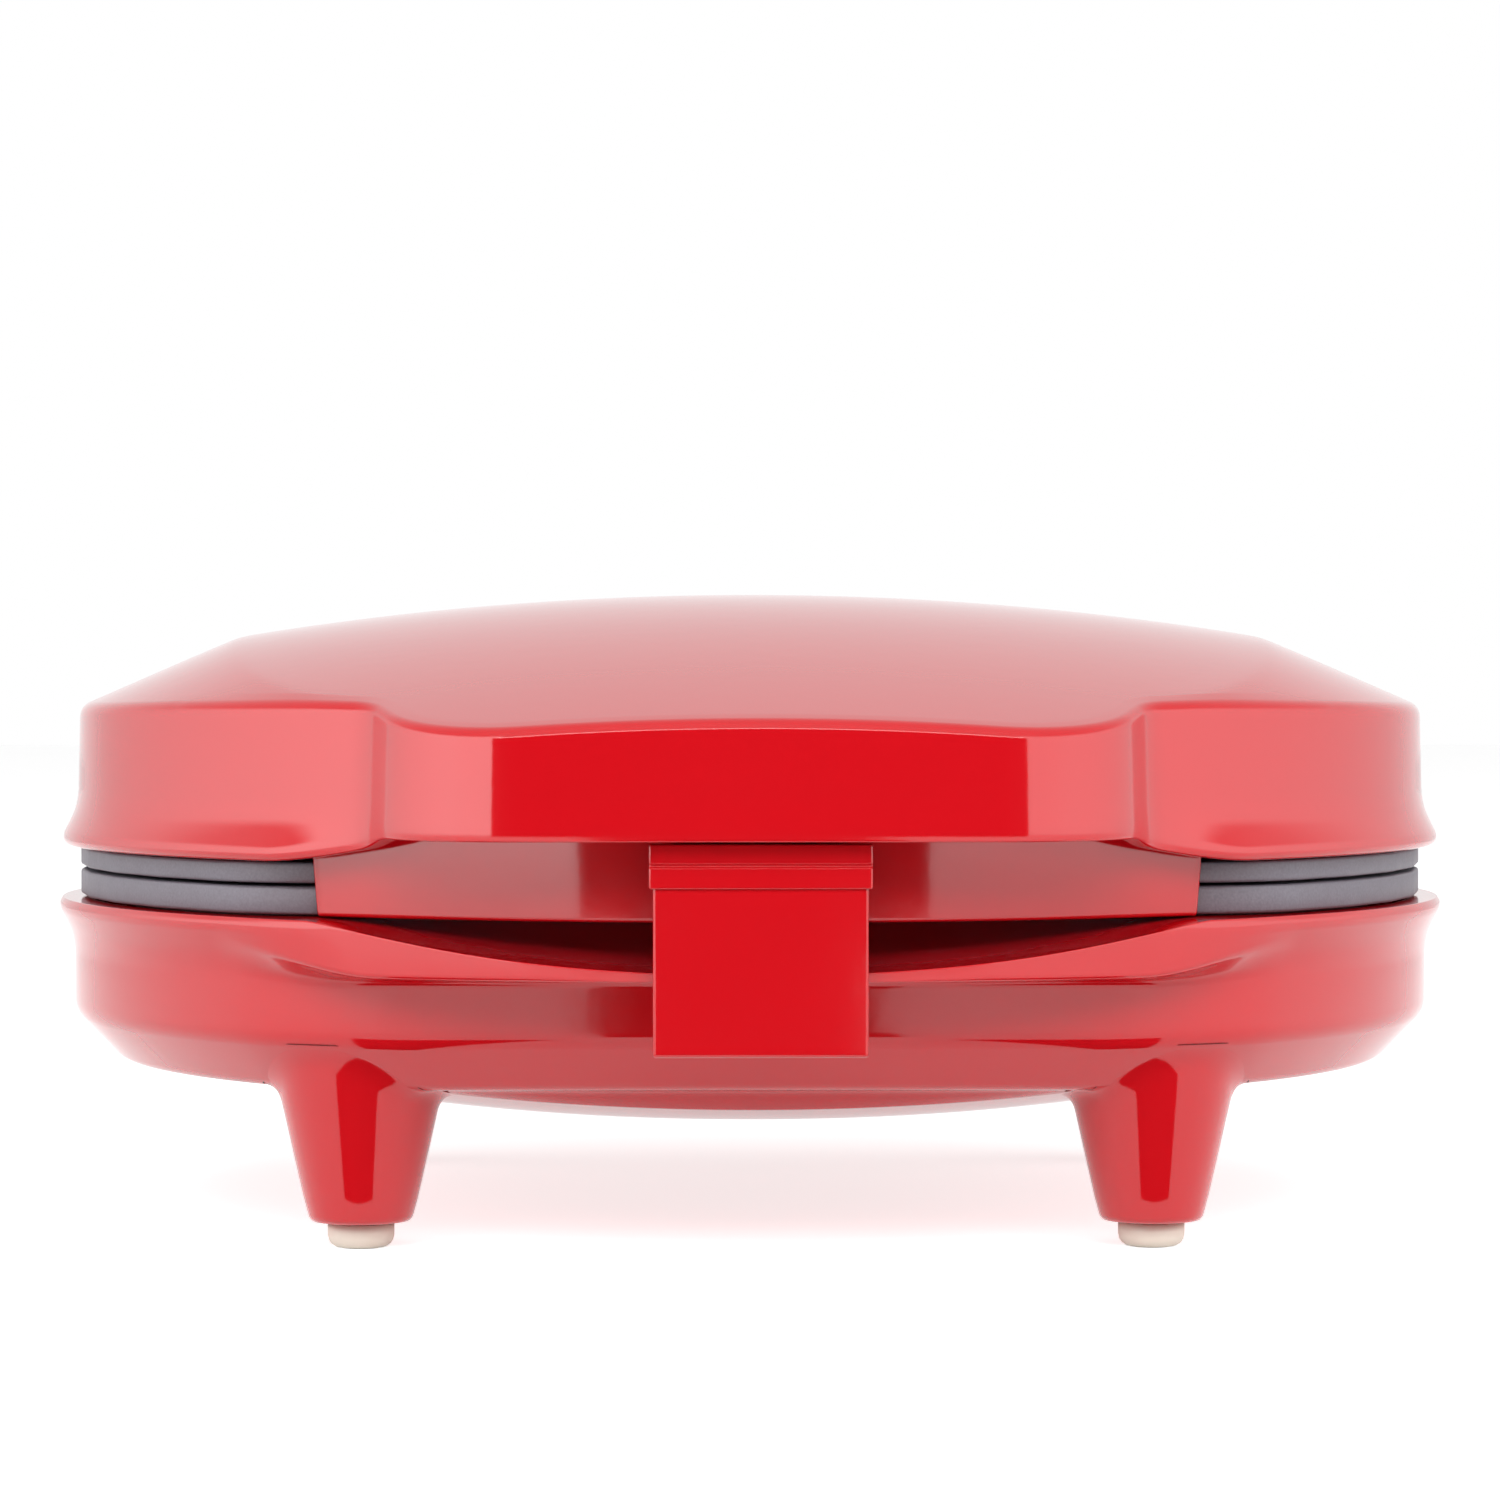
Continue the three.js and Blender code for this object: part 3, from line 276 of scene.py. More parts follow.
def shoulder_height(p):
    """Top of the wall, a little higher towards the front and the back."""
    return SHOULDER + 1.3 * np.minimum(1, (p[..., 1] / REAR) ** 2)


def nose_share(p):
    """How far the mouth has climbed: from 0, a little before the handle's root, to 1
    near the nose, as an S-curve over 20 mm of depth."""
    return np.where(np.abs(p[:, 0]) < ROOT_HALF + 16, smooth((-81 - p[:, 1]) / 20), 0)


def rim_share(p):
    """How much the rim flares: all round the wall 1, and 0.1 from the root to the nose."""
    away = np.hypot(np.abs(p[:, 0]) - root[0], p[:, 1] - root[1])
    on_wall = (np.abs(p[:, 0]) > root[0]) | (p[:, 1] > 0)
    return np.where(on_wall, 0.1 + 0.9 * smooth((away - 1) / 17), 0.1)


lid_plan = lid_outline()
print("lid outline:", len(lid_plan), "points")

# %% [markdown]
# The lid's top is a shallow crown. Round its sides a sloping shoulder cuts the crown
# back, and it runs out where the handle begins, so the crown flows on into the handle's
# top. The wall flares into a rim at the mouth, and the mouth's edge climbs towards the
# handle. All of this is one skin of rings, each ring a copy of the outline that is moved
# in or out and up, with soft bends where two slopes meet.

# %% Where the shoulder meets the crown
SHOULDER_SLOPE = 0.43
LEAST_EDGE = 3.2


def shoulder_widths(plan, inward):
    """How far in the shoulder's slope meets the crown, by halving the interval."""
    near, far = np.zeros(len(plan)), np.full(len(plan), 50.0)
    for _ in range(24):
        middle = (near + far) / 2
        crown = crown_height(plan + inward * middle[:, None])
        above = crown > shoulder_height(plan) + SHOULDER_SLOPE * middle
        near, far = np.where(above, middle, near), np.where(above, far, middle)
    return near


def top_height(p, width):
    """The lower of the shoulder's slope s and the crown c, with a small round between
    them: (s + c - sqrt((s - c)^2 + 0.25^2)) / 2."""
    slope, crown = shoulder_height(lid_plan) + SHOULDER_SLOPE * width, crown_height(p)
    return (slope + crown - np.hypot(slope - crown, 0.25)) / 2


# %% The lid's rings
def lid_rows():
    """Rings from the middle of the ceiling, out and down inside the wall, round the
    mouth, up the rim and the wall, over the shoulder and in to the crown's middle."""
    normal = outward(lid_plan)
    share = nose_share(lid_plan)
    mouth = LID_MOUTH + HANDLE_LIFT * share
    flare = rim_share(lid_plan)
    width = shoulder_widths(lid_plan, -normal)
    rows, bends = [], []

    def add(outline, height, bend):
        rows.append(lift(outline, height))
        bends.append(bend)

    def at(offset):
        return lid_plan + normal * np.reshape(offset, (-1, 1))

    crest_in = at(-np.maximum(width, LEAST_EDGE) - WALL)
    for factor in (0.02, 0.3, 0.6, 0.85):
        add(crest_in * factor, crown_height(crest_in * factor) - WALL, 1)
    add(crest_in, crown_height(crest_in) - WALL, 2)
    add(at(-WALL), top_height(lid_plan, 0) - WALL, 1)
    add(at(-WALL), mouth + 6, 1)
    add(at(-WALL), mouth, 0.4)
    for k, (reach, rise) in enumerate(RIM):
        add(at(reach * flare), mouth + rise, 0.7 if k < 2 else 2)
    add(at(-0.3), top_height(lid_plan, 0), np.where(width < LEAST_EDGE, 2.6, 1.8))
    beyond = []
    for k, away in enumerate((-9, -4, -2.6, -1.6, -0.9, -0.3, 0.3, 0.9, 1.6, 2.6, 4, 6, 9)):
        reach = np.maximum(width + away, LEAST_EDGE + 0.2 + 0.3 * k)
        beyond.append(lift(at(-reach), top_height(at(-reach), reach)))
    rounded = bend_rows(np.array(rows + beyond[:1]), bends[1:], steps=6)
    last = beyond[-1][:, :2]
    size = np.linalg.norm(last, axis=1)
    crown = [lift(last * factor, top_height(last * factor, reach + (1 - factor) * size))
             for factor in np.linspace(0.98, 0.02, 46)]
    return np.concatenate([rounded, beyond[1:], crown])


rings = lid_rows()
print("lid rings:", rings.shape)
make_piece("lid_moulding", [skin(rings)], "lid", "red_shell", ["lid_shell"])

# %% [markdown]
# The base is the lid's fellow, with a belly instead of a crown. At the front its rim
# comes forward as a ledge for the thumb and for the clip's hook, and the deck behind the
# ledge is scooped out so that fingers reach under the handle.

# %% The base's outline and its scooped deck
base_plan = body_outline(BASE_RADIUS, BASE_FRONT, REAR, 40, REAR_CORNER)
opening_plan = body_outline(BASE_RADIUS - WALL, 76.8, REAR - WALL, 20, REAR_CORNER)
LEDGE_HALF, LEDGE_REACH, LEDGE_RADIUS, LEDGE_DIP = 65.0, 105.5, 157.0, 7.0
print("base outline:", len(base_plan), "points")


def ledge_line(x):
    """The ledge's front edge in plan, an arc of 157 mm radius."""
    return LEDGE_RADIUS - LEDGE_REACH - np.sqrt(LEDGE_RADIUS ** 2 - np.minimum(np.abs(x), 100) ** 2)


def ledge_share(p):
    """1 along the ledge, falling to 0 over 26 mm at each end and behind."""
    return smooth((80 - np.abs(p[:, 0])) / 26) * (p[:, 1] < 0)


# %% The deck and the pushed-out rim
def deck_height(p):
    """The mouth's height, less a dip that deepens towards the ledge's edge as
    1 - (1-t)^2 and across the middle as 1 - |x/65|^2.2."""
    across = 1 - np.minimum(1, np.abs(p[:, 0]) / LEDGE_HALF) ** 2.2
    run = np.clip((-79.8 - p[:, 1]) / 22, 0, 1)
    return BASE_MOUTH - LEDGE_DIP * across * (1 - (1 - run) ** 2)


def pushed_out(outline, share):
    """Moves the front of an outline out to the ledge's line by a share of the way."""
    x, y = outline.T
    out = np.minimum(y, ledge_line(x)) - y
    fade = smooth((80 - np.abs(x)) / 22) * (y < 0)
    return np.column_stack([x, y + out * fade * share])


# %% [markdown]
# The base's skin is made like the lid's, from the inner floor up and over the mouth and
# down to the belly. At each ring of the rim, one height is for the plain rim and one for
# the ledge, and the ledge's share blends them. The belly is a shallow dome that flattens
# in the middle and stops at a flat band inside the bevel.

# %% The belly's height
BEVEL_INSET, BAND_INSET = 7.2, 11.5
BAND_HEIGHT, BELLY_TOP, BELLY_LOW = 23.75, 23.8, 15.8
DOME_MIDDLE, DOME_CURVE, SOFT = 14.07, 0.0012, 0.5


def belly_height(p):
    """A shallow dome 14.07 + 0.0012 r^2, never above the flat band inside the bevel nor
    below 15.8, with soft changes: each limit is a hyperbola half a millimetre wide."""
    dome = DOME_MIDDLE + DOME_CURVE * (p ** 2).sum(-1)
    low = (dome + BELLY_LOW + np.hypot(dome - BELLY_LOW, SOFT)) / 2
    return (low + BELLY_TOP - np.hypot(low - BELLY_TOP, SOFT)) / 2


# %% The base's skin
UNDER_LEDGE = (49.4, 48.4, 46.5, 41.3, 41.1, 40.5)
LEDGE_STEPS = (0, 0.35, 0.8, 1.3, 1.7, 3)
LEDGE_SHARES = (1, 1, 1, 1, 0.5, 0)
LEDGE_BENDS = (0.5, 0.4, 0.5, 0.8, 1.5, 1.4)


def base_rows():
    """Rings from the middle of the inner floor, up inside the wall, over the opening and
    the deck, round the ledge and rim, down the wall and in under the belly."""
    normal = outward(base_plan)
    rows, bends = [], []

    def add(outline, height, bend):
        rows.append(lift(outline, height))
        bends.append(bend)

    def at(offset):
        return base_plan + normal * offset

    floor = at(-BEVEL_INSET - WALL)
    for factor in (0.02, 0.45, 0.6, 0.75, 0.9):
        add(floor * factor, belly_height(floor * factor) + WALL, 1)
    add(floor, BOTTOM_EDGE + WALL, 1)
    add(at(-WALL), 33.0, 1)
    add(at(-WALL), 37.0, 1)
    add(opening_plan, 47.0, 0.5)
    add(opening_plan, BASE_MOUTH, 0.3)
    rim = pushed_out(at(RIM[0, 0]), 1)
    for t in (0.15, 0.3, 0.45, 0.6, 0.72, 0.84, 0.94):
        between = opening_plan + (rim - opening_plan) * t
        add(between, deck_height(between), 1)
    share = ledge_share(base_plan)
    for k, (reach, drop) in enumerate(RIM):
        edge = pushed_out(at(reach), LEDGE_SHARES[k])
        plain = BASE_MOUTH - drop
        deck = deck_height(edge)
        under = np.minimum(UNDER_LEDGE[k], deck - LEDGE_STEPS[k])
        add(edge, deck if k == 0 else plain * (1 - share) + under * share, LEDGE_BENDS[k])
    for height, bend in ((37.9, 0.3), (35.2, 0.3), (WALL_FOOT, 1.6)):
        add(at(0), height, bend)
    inner = at(-BAND_INSET)
    add(at(-BEVEL_INSET), BOTTOM_EDGE, 1.5)
    add(inner, BAND_HEIGHT, 1.5)

    def belly_ring(factor):
        return lift(inner * factor, belly_height(inner * factor))

    upper = bend_rows(np.array(rows + [belly_ring(0.97)]), bends[1:], steps=5)
    return np.concatenate([upper, [belly_ring(factor) for factor in np.linspace(0.95, 0.02, 40)]])


base_skin = skin(base_rows(), flip=True)

# %% [markdown]
# Each leg is a cone that swells at its root and runs into the belly. A Boolean modifier
# could join the two, but it leaves slivers of faces that catch the light. So a leg's skin
# is worked out in rings round its own axis. Where the cone would cut the belly, a curve
# takes over that leaves the cone along its slope and lands on the belly along its slope.

# %% Where the legs stand and what they meet
LEG_PLACES = [(s * x, y) for s in SIDES for x, y in ((58.62, -70.0), (68.43, 60.44))]
SOLE, SOLE_RADIUS, LEG_SLOPE = 3.9, 7.7, 0.228
print("legs at", LEG_PLACES)


def inset_of(p):
    """Signed distance of points from the base's outline, negative inside: to the corner
    rounds, to the flat front and back, or to the circle, whichever part is nearest."""
    x, y = np.abs(p[..., 0]), p[..., 1]
    flat = np.where(y < 0, BASE_FRONT, REAR)
    corner = np.where(y < 0, 40.0, REAR_CORNER)
    depth = flat - corner
    cx = np.sqrt((BASE_RADIUS - corner) ** 2 - depth ** 2)
    deep = np.abs(y)
    in_circle = deep * cx < depth * x
    to_circle = np.hypot(x, deep) - BASE_RADIUS
    to_corner = np.hypot(x - cx, deep - depth) - corner
    return np.where(x <= cx, deep - flat, np.where(in_circle, to_circle, to_corner))


def underside(p):
    """Height of the base's underside: the bevel by its inset, then the belly."""
    inset = inset_of(p)
    bevel = np.interp(inset, [-BAND_INSET, -BEVEL_INSET, 0], [BAND_HEIGHT, BOTTOM_EDGE, WALL_FOOT])
    return np.where(inset < -BAND_INSET, belly_height(p), bevel)


# %% Legs that grow out of the belly
def cone(z):
    """A leg's radius at a height: 7.7 at the sole, and 0.228 more for each mm up."""
    return SOLE_RADIUS + LEG_SLOPE * (z - SOLE)


def leg_skin(x, y, count=72):
    """Rings up the leg: sole, cone of radius 7.7 to about 12.5, then the root's curve."""
    a = np.linspace(0, 2 * np.pi, count, endpoint=False)
    spoke = np.stack([np.cos(a), np.sin(a)], -1)
    axis = np.array([x, y])

    radius = np.full(count, 12.0)
    for _ in range(12):
        meet = underside(axis + spoke * radius[:, None])
        radius = cone(meet)
    spread = np.clip(-inset_of(axis + spoke * (radius + 2)[:, None]) + 1.5, 0.6, 2.2)
    landing = axis + spoke * (radius + spread)[:, None]
    start = meet - spread * 1.1
    t = np.linspace(0, 1, 9)[:, None]
    root_r = (1 - t) ** 2 * cone(start) + 2 * t * (1 - t) * radius + t ** 2 * (radius + spread)
    root_z = (1 - t) ** 2 * start + 2 * t * (1 - t) * meet + t ** 2 * (underside(landing) + 0.1)
    rows = [np.column_stack([spoke * r, np.full(count, z)]) for r, z in (
        (0.5, SOLE), (6.6, SOLE), (7.3, 4.0), (SOLE_RADIUS, 4.5), (7.85, 5.0))]
    for part in np.linspace(0.15, 0.9, 5):
        z = 5.0 + (start - 5.0) * part
        rows.append(np.column_stack([spoke * cone(z)[:, None], z]))
    rows += [np.column_stack([spoke * r[:, None], z]) for r, z in zip(root_r, root_z)]
    rows.append(np.column_stack([spoke * 2, np.full(count, BOTTOM_EDGE)]))
    return skin(np.array(rows) + [x, y, 0])


legs = [leg_skin(x, y) for x, y in LEG_PLACES]
make_piece("base_moulding", [base_skin] + legs, "base", "red_shell", ["base_shell"])

# %% [markdown]
# The clip, the hinge ears and the lid's knuckles are all one side view carried along X.
# The side view's corners are rounded first, and its two ends are drawn in a little, which
# gives the soft edge that a moulding has.

# %% A side view carried along X
def rounded_loop(corners, bend, steps=4):
    """A closed polygon whose corners are quadratic curves that start and end the bend's
    length away, or 0.45 of the side's length if that is less."""
    corners = np.asarray(corners, float)
    back, on = np.roll(corners, 1, 0) - corners, np.roll(corners, -1, 0) - corners
    back_length = np.linalg.norm(back, axis=1, keepdims=True)
    on_length = np.linalg.norm(on, axis=1, keepdims=True)
    bend = np.broadcast_to(np.asarray(bend, float).reshape(-1, 1), back_length.shape)
    reach = np.minimum(bend, MOST_OF_SIDE * np.minimum(back_length, on_length))
    a, b = corners + back / back_length * reach, corners + on / on_length * reach
    t = np.linspace(0, 1, steps + 1)[None, :, None]
    curve = (1 - t) ** 2 * a[:, None] + 2 * t * (1 - t) * corners[:, None] + t ** 2 * b[:, None]
    return curve.reshape(-1, 2)


def carried(corners, x0, x1, bend=0.4, edge=0.35, steps=4):
    """A side view of anticlockwise (y, z) corners from x0 to x1, its ends drawn in by a
    quarter circle of the edge's radius."""
    loop = rounded_loop(corners, bend, steps)
    tangent = np.roll(loop, -1, 0) - np.roll(loop, 1, 0)
    tangent /= np.linalg.norm(tangent, axis=1, keepdims=True)
    inward = np.stack([-tangent[:, 1], tangent[:, 0]], -1)
    turns = np.array([(0, 1), (0.13, 0.5), (0.5, 0.13), (1, 0)]) * edge
    rows = [(x0 + along, inset) for along, inset in turns]
    rows += [(x1 - along, inset) for along, inset in turns[::-1]]
    return skin([np.column_stack([np.full(len(loop), x), loop + inward * inset])
                 for x, inset in rows])


def round_end(centre, radius, start, end, count=10):
    """Points (y, z) on an arc about a pin, from angle start to end in degrees."""
    a = np.radians(np.linspace(start, end, count))
    return np.stack([centre[0] + radius * np.cos(a), centre[1] + radius * np.sin(a)], -1)


# %% [markdown]
# The clip is a flat panel under a slightly wider head, with a fine groove across the
# head. Behind the head, two cheeks hold the pin, and behind the panel a hook catches the
# ledge. Its thin bright outline in the photo is light on rounded edges, so every edge is
# really round here.

# %% The clip
HEAD_FRONT, HEAD_HALF, PANEL_HALF, HOOK_HALF, CHEEK_INSIDE = -110.0, 15.75, 15.2, 10.0, 13.5
CLIP_TOP, HEAD_FOOT, PANEL_FOOT, CLIP_THICK, GROOVE = 61.15, 54.8, 31.0, 2.1, 0.3
PANEL_FRONT = HEAD_FRONT + 0.45
PANEL_BACK = PANEL_FRONT + CLIP_THICK
PIN = (-105.5, 58.1)

groove = [(HEAD_FRONT, 58.4), (HEAD_FRONT + GROOVE, 58.2),
          (HEAD_FRONT + GROOVE, 57.95), (HEAD_FRONT, 57.75)]
head = [(HEAD_FRONT + CLIP_THICK, HEAD_FOOT), (HEAD_FRONT + CLIP_THICK, CLIP_TOP),
        (HEAD_FRONT, CLIP_TOP), *groove, (HEAD_FRONT, HEAD_FOOT)]
panel = [(PANEL_BACK, PANEL_FOOT), (PANEL_BACK, HEAD_FOOT + 1),
         (PANEL_FRONT, HEAD_FOOT + 1), (PANEL_FRONT, PANEL_FOOT)]
cheek = np.vstack([[(HEAD_FRONT + 1, HEAD_FOOT)], round_end(PIN, 2.7, -90, 90),
                   [(HEAD_FRONT + 1, CLIP_TOP)]])
hook = [(PANEL_BACK - 0.4, 36.5), (PANEL_BACK + 4.6, 39.4),
        (PANEL_BACK + 4.6, 40.7), (PANEL_BACK - 0.4, 40.7)]
clip_parts = [carried(head, -HEAD_HALF, HEAD_HALF, [0.3, 0.3, 0.4] + [0.12] * 4 + [0.3], 0.3),
              carried(panel, -PANEL_HALF, PANEL_HALF, [0.5, 0.3, 0.3, 0.7], 0.45),
              carried(hook, -HOOK_HALF, HOOK_HALF, 0.4)]
for side in SIDES:
    ends = sorted((side * CHEEK_INSIDE, side * HEAD_HALF))
    clip_parts.append(carried(cheek, *ends, 0.2, 0.3))
make_piece("clip_moulding", clip_parts, "clip", "red_shell", ["clip"])

# %% [markdown]
# At the back, each hinge is a knuckle on the lid between two ears on the base. Their
# round eyes are side views again, so they are carried along X as the clip is. They are
# parts of the same mouldings as the shells, so they replace no CAD node of their own.

# %% Hinge ears on the base and knuckles on the lid
HINGE_X, EAR_X, EYE_RADIUS, ROOT_Y = 46, 7.5, 5.4, REAR - 1.5
ear = np.vstack([[(ROOT_Y, 33.4)], round_end(AXLE, EYE_RADIUS, -50, 135, 14),
                 [(REAR + 2.4, 48.4), (ROOT_Y, 47.0)]])
knuckle = np.vstack([round_end(AXLE, EYE_RADIUS, -180, 45, 16), [(ROOT_Y, 71.0), (ROOT_Y, 59.2)]])
ear_places = [s * HINGE_X + t * EAR_X for s in SIDES for t in SIDES]
ears = [carried(ear, x - 2, x + 2, 0.6, 0.5) for x in ear_places]
make_piece("hinge_ears", ears, "base", "red_shell")
knuckles = [carried(knuckle, s * HINGE_X - 5, s * HINGE_X + 5, 0.8, 0.5) for s in SIDES]
make_piece("lid_knuckles", knuckles, "lid", "red_shell")

# %% [markdown]
# Under the handle a separate red moulding closes the lid's hollow nose. What is seen of
# it is a curved skirt that hangs down in front of the plates. Behind the skirt a deck
# meets the plates, in front of it a floor fills the nose, and a lug holds the clip's pin.

# %% The liner's skirt
SKIRT_RADIUS, SKIRT_CENTRE, SKIRT_FOOT, SKIRT_THICK, FLOOR_TOP = 115.8, 14.8, 49.6, 1.6, 64.8


def liner_half(z):
    """Half width of the liner, which leans in from 65.5 at the top to 64.2 at its foot."""
    return 64.2 + 1.3 * (z - SKIRT_FOOT) / (FLOOR_TOP - SKIRT_FOOT)


def on_arc(x, radius=SKIRT_RADIUS - 1):
    """The depth of the skirt's arc at x: centre - sqrt(radius^2 - x^2)."""
    return SKIRT_CENTRE - np.sqrt(radius ** 2 - x ** 2)


def skirt_skin():
    """A cross-section of (radius, height) carried along the arc: at share s of the half
    width, x = s half(z) and y follows the arc of the section's radius."""
    inside, top = SKIRT_RADIUS - SKIRT_THICK, FLOOR_TOP - 1
    section = rounded_loop([(inside, SKIRT_FOOT), (SKIRT_RADIUS, SKIRT_FOOT),
                            (SKIRT_RADIUS, top), (inside, top)], [0.5, 0.6, 0.3, 0.3])
    middle = section.mean(0)
    shares = np.concatenate([[-1], np.linspace(-0.996, 0.996, 161), [1]])
    rows = []
    for share in shares:
        pull = 0.35 if abs(share) == 1 else 0
        ring = section + (middle - section) * pull * [1, 0.1]
        x = share * liner_half(ring[:, 1])
        rows.append(np.column_stack([x, on_arc(x, ring[:, 0]), ring[:, 1]]))
    return skin(np.array(rows), flip=True)


# %% [markdown]
# The liner's floor and deck are flat plates. A plate is carried from one side to the
# other, and each of its cross-sections runs between two curves seen from above: the
# lid's inner wall and the skirt for the floor, the skirt and the plates for the deck.

# %% The liner's floor, deck and lug
def slab(front, back, low, high):
    """A flat plate between two curves of equal point count, from height low to high."""
    def row(a, b):
        corners = rounded_loop([(0, low), (1, low), (1, high), (0, high)], 0.02)
        mix, z = corners[:, :1], corners[:, 1]
        return np.column_stack([a + (b - a) * mix, z])
    return skin(np.array([row(a, b) for a, b in zip(front, back)]))


FLOOR_LOW, SLOT_HALF, DECK_LOW, DECK_TOP, DECK_BACK = 62.85, 16.4, 57.85, 59.85, -80.2
inner_nose = lid_plan + outward(lid_plan) * -(WALL + 0.35)
right = inner_nose[(inner_nose[:, 1] < -90) & (inner_nose[:, 0] > 17)]
right = right[np.argsort(right[:, 0])]
skirt_x = np.linspace(SLOT_HALF, 52, len(right))
front_x = np.linspace(SLOT_HALF, 50, len(right))
front_edge = np.column_stack([front_x, np.interp(front_x, right[:, 0], right[:, 1])])
skirt_edge = np.column_stack([skirt_x, on_arc(skirt_x)])
deck_x = np.linspace(-61, 61, 81)
deck_front = np.column_stack([deck_x, on_arc(deck_x)])
deck_back = np.column_stack([deck_x, np.full(len(deck_x), DECK_BACK)])
mirror = np.array([-1, 1])
lug = np.vstack([round_end(PIN, 2.2, 90, 270), [(-100.0, 55.9), (-100.0, 60.3)]])
liner_parts = [skirt_skin(),
               slab(front_edge, skirt_edge, FLOOR_LOW, FLOOR_TOP),
               slab(front_edge[::-1] * mirror, skirt_edge[::-1] * mirror, FLOOR_LOW, FLOOR_TOP),
               slab(deck_front, deck_back, DECK_LOW, DECK_TOP),
               carried(lug, -13, 13, 0.3, 0.3)]
make_piece("handle_liner_moulding", liner_parts, "lid", "red_shell", ["handle_liner"])

# %% [markdown]
# Each leg stands on a small ivory rubber tip. A cylinder with a Bevel modifier would do,
# but the real edge turns in slowly at the side and quickly underneath, so a short profile
# is turned about the tip's upright axis instead.

# %% Rubber tips
def turned_skin(profile, x, y, count=40):
    """A profile of (radius, height) pairs turned about an upright axis."""
    a = np.linspace(0, 2 * np.pi, count, endpoint=False)
    spoke = np.stack([np.cos(a), np.sin(a)], -1)
    return skin([np.column_stack([spoke * r + [x, y], np.full(count, z)]) for r, z in profile])


tip = [(0.4, 0), (3.0, 0), (3.8, 0.16), (4.4, 0.55), (4.78, 1.15), (4.93, 1.8), (4.95, 2.4),
       (4.95, 3.6), (3, 3.62), (0.4, 3.62)]
for x, y in LEG_PLACES:
    where = f"{'front' if y < 0 else 'rear'}_{'left' if x < 0 else 'right'}"
    make_piece(f"rubber_tip_{where}", [turned_skin(tip, x, y)], "base", "foot_rubber",
               [f"foot_pad_{where}"])

# %% [markdown]
# The two waffle plates are aluminium castings under a dark non-stick coating. A casting
# has no sharp edge anywhere. So each plate here is a merged copy of its CAD solid, and a
# Bevel modifier rounds every edge that turns by more than 25 degrees.

# %% Waffle plates with cast edges
def softened_copy(name, node, body, slot, width):
    """Makes a merged copy of a CAD node with its edges rounded to a width in millimetres."""
    mesh = frame["nodes"][node].data.copy()
    mesh.name = name
    work = bmesh.new()
    work.from_mesh(mesh)
    bmesh.ops.remove_doubles(work, verts=work.verts, dist=0.02 * MM)
    bmesh.ops.dissolve_limit(work, angle_limit=np.radians(1.5), verts=work.verts, edges=work.edges)
    work.to_mesh(mesh)
    work.free()
    mesh.shade_smooth()
    piece = bpy.data.objects.new(name, mesh)
    bpy.context.scene.collection.objects.link(piece)
    bevel = piece.modifiers.new("cast_edges", "BEVEL")
    bevel.width, bevel.segments, bevel.angle_limit = width * MM, 2, np.radians(25)
    bevel.limit_method = "ANGLE"
    bevel.harden_normals = True
    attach(piece, body)
    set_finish(piece, slot)
    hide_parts(node)
    print(f"{name}: {len(mesh.vertices)} points before its edges are rounded")


softened_copy("lower_waffle_plate", "lower_plate", "base", "coated_plate", 0.35)
softened_copy("upper_waffle_plate", "upper_plate", "lid", "coated_plate", 0.35)

# %% [markdown]
# A finish is a set of shader nodes, and most of it is arithmetic on masks. A small class
# wraps a node's output and gives it the operators + - and *, so that a mask can be
# written as a formula, and each operator adds its Math node.

# %% Shader arithmetic
class Signal:
    """One output of a node, with arithmetic."""

    def __init__(self, finish, socket):
        self.finish, self.socket = finish, socket

    def math(self, operation, a, b):
        """One Math node on two signals or numbers."""
        return self.finish.node("ShaderNodeMath", {"operation": operation}, {0: a, 1: b})

    def __add__(self, other):
        return self.math("ADD", self, other)

    def __rsub__(self, other):
        return self.math("SUBTRACT", other, self)

    def __mul__(self, other):
        return self.math("MULTIPLY", self, other)

    __radd__, __rmul__ = __add__, __mul__


# %% [markdown]
# A finish gives its Principled shader numbers where a value is the same all over, and
# signals where it changes. Every pattern reads Object coordinates, which stay with the
# piece when it moves.

